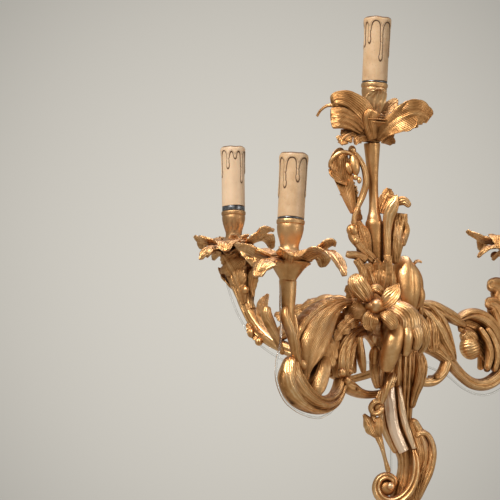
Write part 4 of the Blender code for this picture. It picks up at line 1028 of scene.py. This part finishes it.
def right_stem_leaf():
    """Thin stalk close to the stem with a petal at its tip, and a fluted leaf that ends square."""
    return [
        ribbon([(-17, -37, 346, 4, 3.5), (-17, -40, 362, 4, 3.2), (-17, -42, 382, 4.6, 3.2),
                (-15.5, -45, 396, 6, 3), (-13, -47, 405, 7, 2.8), (-9.5, -48, 413, 5, 2.4),
                (-7, -48, 420, 1.5, 1.6)], (0, -1, 0), flutes=1,
               cut=0.12, hair=2, seed=101),
        blade([(-24, -38, 402, 4), (-20, -37, 412, 7), (-16, -37, 421, 7), (-14, -38, 428, 3)],
              (0.1, -1, 0.1), cup=0.3, lobes=2, notch=0.12, seed=103),
        ribbon([(-12, -40, 406, 3, 2.4), (-6, -41, 413, 4.4, 2.4), (1, -42, 414, 4.6, 2.4),
                (7, -43, 408, 2.5, 2)],
               (0, -1, -0.3), flutes=1, cut=0.1, hair=2, seed=104),
        ribbon([(-9, -30, 350, 5, 4.5), (-8, -33, 362, 6.5, 5), (-5, -35, 378, 8, 5.5), (-3, -36, 392, 8, 5),
                (-2, -37, 402, 7, 4.5)], (0.3, -1, 0), flutes=4, cut=0.55, fine=0.05, blunt=(False, True),
               seed=105),
        ribbon([(-1, -35, 368, 2, 3), (2, -36, 378, 3.5, 3.5), (4, -37, 386, 3, 3), (0, -37, 396, 2, 3)],
               (1, -0.6, 0), flutes=1, cut=0.1, seed=106),
    ]


def make_hub():
    body = [
        ball((-11, -5, 292), (25, 24, 31), lobes=9, cut=0.16, seed=110),
        ball((-28, -31, 318), (14, 13.5, 28), lobes=7, cut=0.12, seed=111),
        # dark bracts round the foot of the upper stem, their tips turned out
        blade([(-30, -40, 318, 6), (-32, -46, 330, 9), (-36, -47, 341, 8), (-41, -49, 348, 2.5)],
              (-0.2, -1, 0.1), cup=-0.35, lobes=2, notch=0.15, seed=117),
        blade([(-28, -42, 322, 6), (-27, -47, 334, 8), (-27, -48, 345, 6), (-29, -52, 353, 1.5)],
              (0, -1, 0.2), cup=-0.35, lobes=2, notch=0.15, seed=118),
        blade([(-24, -41, 320, 6), (-20, -46, 332, 8), (-19, -47, 344, 6), (-20, -51, 353, 1.5)],
              (0.3, -1, 0.1), cup=-0.35, lobes=2, notch=0.15, seed=119),
        ribbon([(-36, -36, 322, 5, 5), (-40, -42, 334, 5, 5), (-44, -45, 345, 4.5, 4.5),
                (-50, -46, 354, 4, 4)], (0, -1, 0),
               flutes=2, cut=0.3, hair=3, seed=108),
        ribbon([(-12, -30, 318, 5, 5), (-13, -37, 332, 5.5, 5), (-16, -38, 346, 5, 4.5),
                (-17, -39, 360, 4, 4)], (0, -1, 0),
               flutes=1, cut=0.1, hair=3, seed=109),
        # leaves that wrap the hub behind the flower
        blade([(-22, -26, 296, 6), (-14, -30, 304, 9), (-8, -32, 314, 8), (-8, -32, 324, 3)], (0.4, -1, 0.3),
              cup=-0.3, lobes=4, seed=112),
        blade([(-36, -26, 300, 6), (-46, -30, 308, 9), (-54, -32, 318, 7), (-58, -32, 328, 3)],
              (-0.5, -1, 0.2), cup=-0.3, lobes=4, seed=113),
        blade([(-10, 18, 286, 8), (-12, 26, 304, 12), (-12, 26, 324, 12), (-14, 22, 344, 5)], (0, 1, 0.1),
              cup=-0.3, lobes=5, seed=114),
        blade([(14, 0, 284, 7), (22, 0, 300, 11), (22, 0, 318, 10), (18, 0, 334, 4)], (1, 0, 0.1), cup=-0.3,
              lobes=4, seed=115),
        blade([(-30, 12, 284, 7), (-40, 18, 298, 10), (-44, 20, 314, 9), (-42, 18, 330, 4)], (-0.8, 0.7, 0.1),
              cup=-0.3, lobes=4, seed=116),
    ]
    add_mesh("hub_casting_body", body, GILT, "frame", ["hub_casting"])

    # a half-open flower: each petal turned its own way round the knob
    flower = [
        ball((-30, -60, 305.5), (7.2, 6.5, 7.6), lobes=0, axis=(0, -1, 0.1), m=40, seed=127),
        ball((-30, -53, 304), (13, 9, 13), lobes=5, cut=0.12, axis=(0, -1, 0), seed=126),
        ribbon([(-36, -56, 310, 5, 4), (-42, -61, 317, 8.5, 6), (-48, -62, 324, 10, 6.5),
                (-52, -60, 331, 8.5, 5.5), (-54, -58, 335, 4, 4)], (-0.25, -1, 0.1), flutes=4, cut=0.25,
               hair=5, m=56, seed=120),
        blade([(-27, -60, 303, 4), (-20, -65, 309, 8), (-13, -66, 317, 7), (-8, -64, 326, 1)],
              (-0.35, -1, 0.1), cup=0.35, lobes=1, notch=0.03, teeth=0, thick=3.2, hair=4, middle=-0.04,
              seed=121),
        blade([(-36, -56, 303, 4), (-45, -57, 301, 9), (-53, -55, 302, 12), (-59, -52, 305, 9)], (0, -1, 0.1),
              cup=-0.12, lobes=1, notch=0.05, teeth=0.04, thick=2.6, hair=9, middle=0, seed=123),
        ribbon([(-26, -56, 300, 4, 4), (-20, -61, 294, 7, 5.5), (-15, -61, 287, 7, 5.5),
                (-13, -59, 281, 4.5, 4)],
               (0.1, -1, 0), flutes=2, cut=0.15, hair=4, seed=124),
        blade([(-32, -56, 300, 4), (-36, -61, 293, 8), (-37, -60, 286, 8), (-34, -57, 280, 3)], (0, -1, 0),
              cup=0.25, lobes=1, notch=0.08, thick=2.8, hair=5, seed=125),
        ribbon([(-37, -56, 318, 3, 3.5), (-31, -59, 322, 5, 4), (-25, -58, 318, 4, 4), (-21, -57, 312, 3, 3)],
               (0, -1, 0.2), flutes=2, cut=0.3, hair=3, seed=128),
    ]
    add_mesh("rosette_flower", flower, GILT, "frame", ["rosette"])

    # closed bud: a fat ball with a few deep seams and one small lobe beside it
    bud = [ball((4.5, -13, 329), (15, 13.5, 29), lobes=0, axis=(-0.03, 0, 1), m=60, n=40, seed=130)]
    for i, (azimuth, out, wide, low, high) in enumerate([
            (243, 10.5, 12, 299, 360), (281, 12, 6.8, 300, 359), (310, 12.5, 7.2, 302, 355),
            (340, 15.5, 5.6, 305, 333), (15, 12, 9, 302, 352), (65, 11, 10.5, 301, 356),
            (125, 11, 11, 300, 358), (185, 11, 10.5, 301, 358)]):
        angle = math.radians(azimuth)
        c, s = math.cos(angle), math.sin(angle)
        rows = [(4.5 + r * out * c, -13 + r * out * s, low + h * (high - low), w * wide,
                 w * min(wide, 9) * 0.7)
                for h, r, w in ((0, 0.35, 0.35), (0.12, 0.78, 0.8), (0.36, 1.05, 1.0), (0.65, 1.02, 1.0),
                                (0.86, 0.74, 0.8), (1.0, 0.28, 0.45))]
        bud.append(ribbon(rows, (c, s, 0), flutes=1, cut=0.04, depth_power=1.0, n=60, m=44, hair=0,
                          seed=131 + i))
    bud.append(blade([(12, -18, 350, 2), (16, -19, 354, 3.5), (21, -19, 353, 1.5)], (0, -0.5, 1), cup=0.2,
                     lobes=1, notch=0.05, seed=139))
    add_mesh("lobed_bud_petals", bud, GILT, "frame", ["lobed_bud"])

    drape = [
        # smooth body of the fold, and the rounded fingers along its edge
        ribbon([(-24, -30, 300, 9, 8), (-12, -35, 299, 14, 11), (0, -38, 291, 17, 13), (3, -38, 278, 16, 12),
                (1, -36, 266, 11, 9), (-2, -34, 257, 5, 6)], (0.1, -1, 0.25), flutes=3, cut=0.16, hair=6,
               n=90, m=72, seed=140, roam=1.4),
        ribbon([(-7, -40, 292, 5, 6), (-9, -46, 279, 9, 8), (-13, -48, 266, 10, 9), (-17, -47, 254, 9.5, 8.5),
                (-19.5, -46, 244, 7.5, 7), (-20, -45, 238, 4, 4.5)], (0, -1, 0), flutes=1, cut=0.05,
               depth_power=1.0, hair=0, m=56, seed=141),
        ribbon([(1, -42, 290, 4, 5), (2, -47, 277, 6, 6.5), (1, -46, 264, 5.5, 6), (-1, -44, 254, 3.5, 4)],
               (0, -1, 0), flutes=1, cut=0.05, depth_power=1.0, hair=0, seed=142),
        ribbon([(6, -39, 292, 5, 6), (11, -43, 281, 7, 7), (12, -43, 270, 6, 6.5), (9, -42, 260, 3.5, 4)],
               (0.2, -1, 0), flutes=1, cut=0.08, hair=3, seed=143),
        ribbon([(4, -33, 298, 6, 6), (15, -35, 289, 7.5, 7), (20, -34, 276, 6.5, 6.5), (19, -33, 265, 4.5, 5),
                (15, -32, 258, 2.5, 3)], (0.5, -1, 0), flutes=2, cut=0.2, hair=3, seed=144),
        # crumpled foot on the left, and the lumps that go down to the stem
        blade([(-29, -33, 298, 6), (-32, -38, 286, 8), (-31, -39, 273, 6), (-28, -38, 264, 3)], (-0.3, -1, 0),
              cup=-0.3, lobes=2, notch=0.1, seed=145),
        ball((-31, -38, 272), (4.4, 4, 6), lobes=0, axis=(0.4, 0, -1)),
        ball((-31, -36, 255), (5.6, 5.5, 10), lobes=3, cut=0.2, axis=(0.1, 0, 1), seed=146),
        ribbon([(-28, -30, 262, 5, 6), (-31, -32, 248, 5, 6), (-30, -31, 234, 4.5, 5.5),
                (-27, -28, 222, 3, 4)], (-0.3, -1, 0),
               flutes=2, cut=0.4, hair=4, seed=147),
    ]
    add_mesh("leaf_drape_casting", drape, GILT, "frame", ["leaf_drape"])


def make_lower_stem():
    """Bark-like shaft with pale worn flutes, a C-scroll on the right and a volute on the left."""
    face = (0, -1, 0)
    volute = ribbon([(10, -13, 162, 3, 4), (12.5, -15, 147, 3.8, 5), (11, -16, 131, 4.4, 5.4),
                     (5, -16, 118, 5, 6), (-5, -16, 109, 5.4, 6), (-16, -15, 107, 5.4, 6),
                     (-25, -14, 112, 5, 5.6), (-28.5, -14, 121, 4.6, 5.2), (-25, -14, 130, 4.4, 5),
                     (-17, -14, 133, 4.2, 5), (-10.5, -14, 128.5, 3.8, 4.8), (-12, -14, 121, 3, 4)],
                    face, flutes=2, cut=0.5, hair=0, n=150, m=60, seed=153, roam=0.4)
    parts = [
        ribbon([(2, 0, 266, 17, 16), (-1, 0, 244, 18, 17), (-3, 0, 226, 17.5, 16), (-5, 0, 208, 17, 15),
                (-6, 0, 192, 16.5, 14), (-4, 0, 178, 14, 13), (1, 0, 164, 11, 11), (5, 0, 150, 10, 11),
                (6, 0, 134, 12, 11), (3, 0, 118, 14, 13), (0, 0, 104, 15, 15)], face, flutes=5, cut=0.24,
               hair=12, blunt=(True, True), n=170, m=110, seed=150, roam=1.5),
        # the channel of the C-scroll
        ribbon([(8, -3, 192, 6, 7), (14, -4, 176, 9, 8), (18, -4, 160, 10, 8), (17, -4, 142, 10, 8),
                (12, -4, 122, 10, 8), (7, -4, 106, 9, 8)], face, flutes=2, cut=0.35, hair=6, seed=149),
        # worn pale flutes with torn ends, and the gold edge on the left
        worn(ribbon([(-12.5, -15, 232, 3.5, 4.5), (-13.8, -17, 218, 5.6, 5.5), (-13, -17, 200, 6, 5.5),
                     (-10, -16, 182, 6, 5.5), (-4.5, -15, 168, 6, 5), (0.5, -14, 158, 5.4, 4.5)], face,
                    flutes=1, cut=0.05, hair=1.5, blunt=(False, True), seed=151), 0.95),
        worn(ribbon([(-4, -16, 226, 2.4, 4), (-2.5, -17.5, 208, 3.4, 4.5), (0.5, -17, 190, 3.6, 4.5),
                     (5.5, -15.5, 174, 3.4, 4.5), (10.5, -13.5, 161, 2.6, 4)], face, flutes=1, cut=0.05,
                    hair=1.5, blunt=(False, True), seed=157), 0.55),
        worn(ribbon([(-20, -10, 208, 2.5, 4), (-21.5, -12, 195, 4, 5), (-18.5, -12, 180, 4.4, 5),
                     (-12.5, -11, 167, 4, 4.5), (-7, -10, 156, 3, 3.5)], face, flutes=1, cut=0.1, hair=1.5,
                    seed=158), 0.2),
        # C-scroll on the right with a raised rim
        ribbon([(8, -2, 190, 4, 6), (14, -2, 180, 5, 7), (23, -2, 173, 6, 8), (27, -2, 162, 6.5, 8.5),
                (26, -3, 148, 7, 9), (20, -3, 132, 8, 9), (13, -3, 118, 8, 9), (6, -3, 106, 8, 9)], face,
               flutes=2, cut=0.62, hair=5, n=120, m=72, seed=152),
        ribbon([(12, -9, 171, 3, 3.5), (17, -9, 176, 3.2, 4), (25, -8, 175, 3.2, 5), (30.5, -7, 165, 3.2, 5),
                (31.5, -7, 153, 3.2, 5), (28, -7, 137, 3.2, 5), (21, -7, 122, 3.2, 5), (13, -7, 106, 3, 5)],
               face, flutes=1, cut=0.1, hair=2, n=110, seed=159),
        # volute at the lower left, filled behind, with its eye
        worn(volute, 0.12),
        ball((-18, -11, 121), (8.5, 8.5, 5), lobes=0, axis=(0, -1, 0)),
        worn(ball((-14, -17.5, 123), (4, 4, 4), lobes=0), 0.3),
        # leaves down the right flank, the left and the back
        ribbon([(14, -5, 262, 5, 7), (19, -8, 248, 7, 8), (17, -9, 232, 6.5, 8), (12, -9, 216, 4.5, 6),
                (9, -8, 202, 3, 4)],
               (0.5, -1, 0), flutes=3, cut=0.45, hair=6, seed=154),
        blade([(10, 12, 262, 8), (12, 18, 240, 12), (6, 18, 214, 11), (0, 15, 190, 5)], (0.2, 1, 0), cup=-0.3,
              lobes=5, seed=155),
        ribbon([(-14, -9, 262, 5, 7), (-22, -12, 248, 5.5, 7), (-24, -13, 234, 5, 6), (-22, -12, 222, 3, 4)],
               (-0.5, -1, 0), flutes=2, cut=0.45, hair=5, seed=156),
    ]
    add_mesh("lower_stem_casting", parts, GILT, "frame", ["lower_stem"])

    tendril = [
        # twisted cloth-like part above, knotted below
        worn(ribbon([(-9, -26, 237, 3.5, 3), (-13, -30, 231, 6, 4), (-19, -32, 222, 6.2, 4),
                     (-24, -31, 213, 5.6, 4), (-27, -30, 206, 4.6, 3.5)], (0, -1, 0), flutes=3, cut=0.4,
                    twist=0.55, hair=2, seed=160), 0.15),
        ribbon([(-11, -31, 227, 2.6, 3), (-17, -34, 223, 3.4, 3), (-23, -33, 217, 2.6, 3)], (0, -1, 0),
               flutes=1, hair=2, seed=165),
        ribbon([(-23, -30, 209, 2.8, 3), (-30, -32, 208.5, 3.2, 3), (-34.5, -31, 203, 3, 3),
                (-32, -31, 197, 2.8, 3), (-26, -32, 198, 2.8, 3), (-22.5, -31, 204, 2.6, 2.8)], (0, -1, 0),
               flutes=1, cut=0.1, hair=2, seed=161),
        ball((-28.6, -29.5, 203), (6, 3, 5.6), lobes=3, cut=0.2),
        # stalk, closed leaf and the thin stalk to the volute
        ribbon([(-33, -29, 202, 2.6, 2.6), (-32, -28, 193, 3, 2.8), (-29, -28, 184, 3.2, 2.8),
                (-27, -27, 174, 4, 3), (-23.5, -26, 163, 2.6, 2.4), (-20, -24, 150, 2, 2),
                (-16, -21, 136, 3.2, 2.8)], (0, -1, 0), flutes=1,
               cut=0.1, hair=2, n=90, seed=162),
        blade([(-27, -27, 171, 2), (-31, -30, 178, 6.5), (-36, -31, 187, 6.5), (-42, -31, 196, 1.5)],
              (0.2, -1, 0.1), cup=-0.4, lobes=1, notch=0.06, thick=2.4, seed=163),
        blade([(-25, -27, 172, 2), (-26.5, -31, 179, 5.5), (-26.5, -31, 187, 5), (-27, -30, 193, 2)],
              (0.3, -1, 0), cup=-0.35, lobes=1, notch=0.06, thick=2.4, seed=164),
    ]
    add_mesh("tendril_casting", tendril, GILT, "frame", ["tendril"])


# ---------------------------------------------------------------- base

def make_base():
    """Domed rocaille base: swirled gadroons, a shell over each foot and C-scrolls between."""
    bottom = 1.8

    def rocaille(phi, radius, height):
        fade = np.clip(1 - height / 70, 0, 1) * np.minimum(1, radius / 40)
        radius = radius * (1 + 0.11 * fade * np.cos(3 * (phi + math.pi / 2)))
        swirl = ridge(24 * phi / TAU + height / 34, 0.6)
        mid = np.clip((height - 22) / 12, 0, 1) * np.clip((98 - height) / 10, 0, 1)
        rim = np.exp(-((height - 16) / 4) ** 2)
        beads = ridge(60 * phi / TAU, 0.7)
        radius = radius - 1.6 * mid * (1 - swirl) - 0.9 * rim * (1 - beads)
        return radius, height, np.clip(0.3 + 0.6 * mid * swirl + 0.5 * rim * beads, 0, 1)
    ring = [(BASE_RADIUS - 2, bottom), (BASE_RADIUS, bottom + 3), (BASE_RADIUS - 0.5, 8),
            (BASE_RADIUS - 3, 12), (BASE_RADIUS - 4, 15), (BASE_RADIUS - 7, 18.5), (BASE_RADIUS - 11, 21),
            (60, 26), (54, 33), (47, 41), (40, 50), (34.5, 59), (30, 68), (26, 76), (22.5, 83), (20, 89),
            (18.8, 94), (18.6, 98), (20.4, 100), (20.4, 103), (19, BASE_HEIGHT), (6, BASE_HEIGHT), (6, 93),
            (14, 90), (20, 80), (29, 64), (38, 46), (52, 30), (BASE_RADIUS - 12.5, 18), (BASE_RADIUS - 8, 11),
            (BASE_RADIUS - 7, bottom)]
    parts = [turned(ring, 360, rocaille, rounds=2)]
    for i in range(3):
        # the base's feet point down the lobes of its plan
        angle = TAU * i / 3 + math.pi / 6
        turn = Matrix.Rotation(angle, 4, "Z")
        foot = [
            ribbon([(36, 0, 62, 5, 5), (46, 0, 50, 7, 6), (58, 0, 38, 8, 7), (70, 0, 26, 8, 7),
                    (77, 0, 14, 7, 6), (74, 0, 7.5, 5.5, 5)], (0, 1, 0), flutes=3, cut=0.4, n=90, m=56,
                   seed=170 + i),
            blade([(72, 0, 10, 9), (69, 0, 22, 15), (60, 0, 36, 15), (50, 0, 48, 10), (42, 0, 60, 3)],
                  (1, 0, 0.9), cup=-0.3, lobes=6, notch=0.3, seed=173 + i),
            ball((77, 0, 12), (8, 9, 8), lobes=6, cut=0.15, axis=(0, 1, 0), seed=176 + i),
        ]
        for side in (1, -1):
            foot.append(ribbon([(60, 16 * side, 24, 4, 4), (56, 26 * side, 26, 4.5, 4),
                                (54, 36 * side, 22, 4.5, 4), (57, 42 * side, 15, 4, 4),
                                (63, 40 * side, 10, 4, 4), (67, 33 * side, 9, 4, 4)],
                               (0.8, 0, 0.6), flutes=2, cut=0.4, seed=179 + i))
        parts += [moved(part, turn) for part in foot]
    add_mesh("base_rocaille", parts, GILT, "frame", ["base_casting"], loops=(0,))


# ---------------------------------------------------------------- leads

LEAD_ROUTES = {
    "front": [(171.5, 320, 0), (171.6, 300, 0), (170.5, 280, 0), (172, 262, 0), (177.5, 245, 0),
              (177, 226, 0), (165, 208, 0), (143, 197, 0), (117, 192, 0), (96, 196, 3), (78, 203, 8),
              (60, 217, 12), (46, 222, 16), (34, 222, 22)],
    "left": [(203, 361, 0), (202, 345, 0), (195, 325, 0), (184, 303, 0), (165, 279, 0), (139, 261, 0),
             (110, 248.5, 0), (92, 244, 5), (76, 240, 10), (56, 246, 13), (40, 250, 16), (24, 250, 20)],
    "right": [(189.5, 358, 0), (189, 338, 0), (186.8, 310, 0), (182, 279, 0), (171.6, 247, 0),
              (153.6, 226.5, 0), (127, 217, 0), (104, 223, 4), (84, 238, 9), (64, 246, 12), (46, 252, 16),
              (30, 250, 20)],
}
LEAD_SIDE = {"front": -1.0, "left": -1.0, "right": 1.0}
LEAD_DROP = {"front": (-9.0, 25.0, 208.0), "left": (-1.0, 27.0, 232.0), "right": (8.0, 24.0, 232.0)}
LEAD_END = 86.0


def make_leads():
    for key, route in LEAD_ROUTES.items():
        matrix = arm_matrix(key)
        points = [tuple(matrix @ Vector((out, LEAD_SIDE[key] * off, height))) for out, height, off in route]
        x, y, start = LEAD_DROP[key]
        points += [(x, y, start + (LEAD_END - start) * step / 5) for step in range(6)]
        rows = [(*point, LEAD_RADIUS, LEAD_RADIUS) for point in points]
        lead = ribbon(rows, (0.3, 0.9, 0.31), flutes=1, cut=0.0, n=200, m=12, depth_power=1.0, hair=0)
        add_mesh("lead_" + key + "_flex", [lead], FLEX, "frame", ["lead_" + key])


# ---------------------------------------------------------------- what stays from the model

def dress_kept_nodes():
    """The turned and hidden parts keep the model's shape and take these finishes."""
    looks = {"steel": STEEL, "pale_brass": BRASS, "felt": FELT, "clear_flex": FLEX, "gilt_bronze": GILT,
             "black_moulding": BLACK, "ivory_sleeve": IVORY}
    slots = {part["node"]: part["material_slot"] for part in frame["record"]["subparts"]}
    for name, node in frame["nodes"].items():
        if not node.hide_render:
            node.data.materials.clear()
            node.data.materials.append(GILT if "screw" in name else looks[slots[name]])


# ---------------------------------------------------------------- camera, floor and light

def make_camera():
    data = bpy.data.cameras.new("camera")
    data.sensor_width = 36.0
    data.lens = 100.0
    camera = bpy.data.objects.new("camera", data)
    camera.location = VIEWPOINT
    camera.rotation_euler = (math.radians(90 + VIEW_PITCH), 0, 0)
    bpy.context.collection.objects.link(camera)
    bpy.context.scene.camera = camera


def stage_material():
    """Backdrop paper: it mostly glows by itself, brightest straight ahead of the main view and
    fading round it, and reflects a little of the lamps' light."""
    made = Nodes("paper")
    eye = made.add("ShaderNodeVectorMath", {"operation": "SUBTRACT"})
    made.tree.links.new(made.coords(), eye.inputs[0])
    eye.inputs[1].default_value = VIEWPOINT
    aim = made.add("ShaderNodeVectorMath", {"operation": "NORMALIZE"})
    made.tree.links.new(eye.outputs[0], aim.inputs[0])
    dot = made.add("ShaderNodeVectorMath", {"operation": "DOT_PRODUCT"})
    made.tree.links.new(aim.outputs[0], dot.inputs[0])
    pitch = math.radians(VIEW_PITCH)
    dot.inputs[1].default_value = (0, math.cos(pitch), math.sin(pitch))
    glow = made.ramp(dot.outputs["Value"], [(0.955, (0.30, 0.287, 0.258)), (0.970, (0.40, 0.383, 0.346)),
                                            (0.984, (0.50, 0.478, 0.432)), (1.0, (0.60, 0.574, 0.520))])
    made.link(made.mix(1.0, (0, 0, 0), glow), "Emission Color")
    made.shader.inputs["Emission Strength"].default_value = 1.0
    made.link(made.mix(0.14, (0, 0, 0), glow), "Base Color")
    made.shader.inputs["Roughness"].default_value = 0.9
    made.shader.inputs["Specular IOR Level"].default_value = 0.1
    return made.material


def make_stage():
    """Pale floor that rises into a round backdrop, far enough out for every view."""
    profile = [(0.02, 0.0), (1.2, 0.0)]
    flat, bend, centre = 1.3, 2.5, 2.5
    for step in range(1, 25):
        angle = math.pi / 2 * step / 24
        profile.append((flat + bend * math.sin(angle), centre - bend * math.cos(angle)))
    profile += [(flat + bend, 6.0)]
    sides = 96
    verts = [(r * math.cos(TAU * k / sides), r * math.sin(TAU * k / sides), z - FLOOR_GAP) for r, z in profile
             for k in range(sides)]
    faces = [(i * sides + k, i * sides + (k + 1) % sides, (i + 1) * sides + (k + 1) % sides,
              (i + 1) * sides + k)
             for i in range(len(profile) - 1) for k in range(sides)]
    faces.append(tuple(range(sides))[::-1])
    data = bpy.data.meshes.new("floor")
    data.from_pydata(verts, [], faces)
    data.shade_smooth()
    data.materials.append(stage_material())
    floor = bpy.data.objects.new("floor", data)
    bpy.context.collection.objects.link(floor)


def area_light(name, place, aim, size, power, colour):
    data = bpy.data.lights.new(name, "AREA")
    data.shape = "RECTANGLE"
    data.size, data.size_y = size
    data.energy = power
    data.color = colour
    lamp = bpy.data.objects.new(name, data)
    lamp.location = place
    lamp.rotation_euler = (Vector(aim) - Vector(place)).to_track_quat("-Z", "Y").to_euler()
    bpy.context.collection.objects.link(lamp)


def make_lights_and_world():
    area_light("key", (-1.1, -1.5, 1.9), (0, 0, 0.35), (0.6, 0.6), 60, (1.0, 0.98, 0.94))
    area_light("fill", (1.9, -1.4, 0.9), (0, 0, 0.3), (0.9, 1.2), 12, (1.0, 0.98, 0.95))
    area_light("overhead", (0.2, 0.2, 2.3), (0, 0, 0.3), (1.2, 1.2), 26, (1.0, 0.99, 0.96))
    world = bpy.data.worlds.new("studio")
    world.use_nodes = True
    background = world.node_tree.nodes["Background"]
    background.inputs["Color"].default_value = (0.98, 0.97, 0.94, 1)
    background.inputs["Strength"].default_value = 0.42
    bpy.context.scene.world = world
    bpy.context.scene.view_settings.view_transform = "Standard"


make_camera()
make_arms()
make_lights()
make_upper_stem()
make_hub()
make_lower_stem()
make_base()
make_leads()
dress_kept_nodes()
make_stage()
make_lights_and_world()
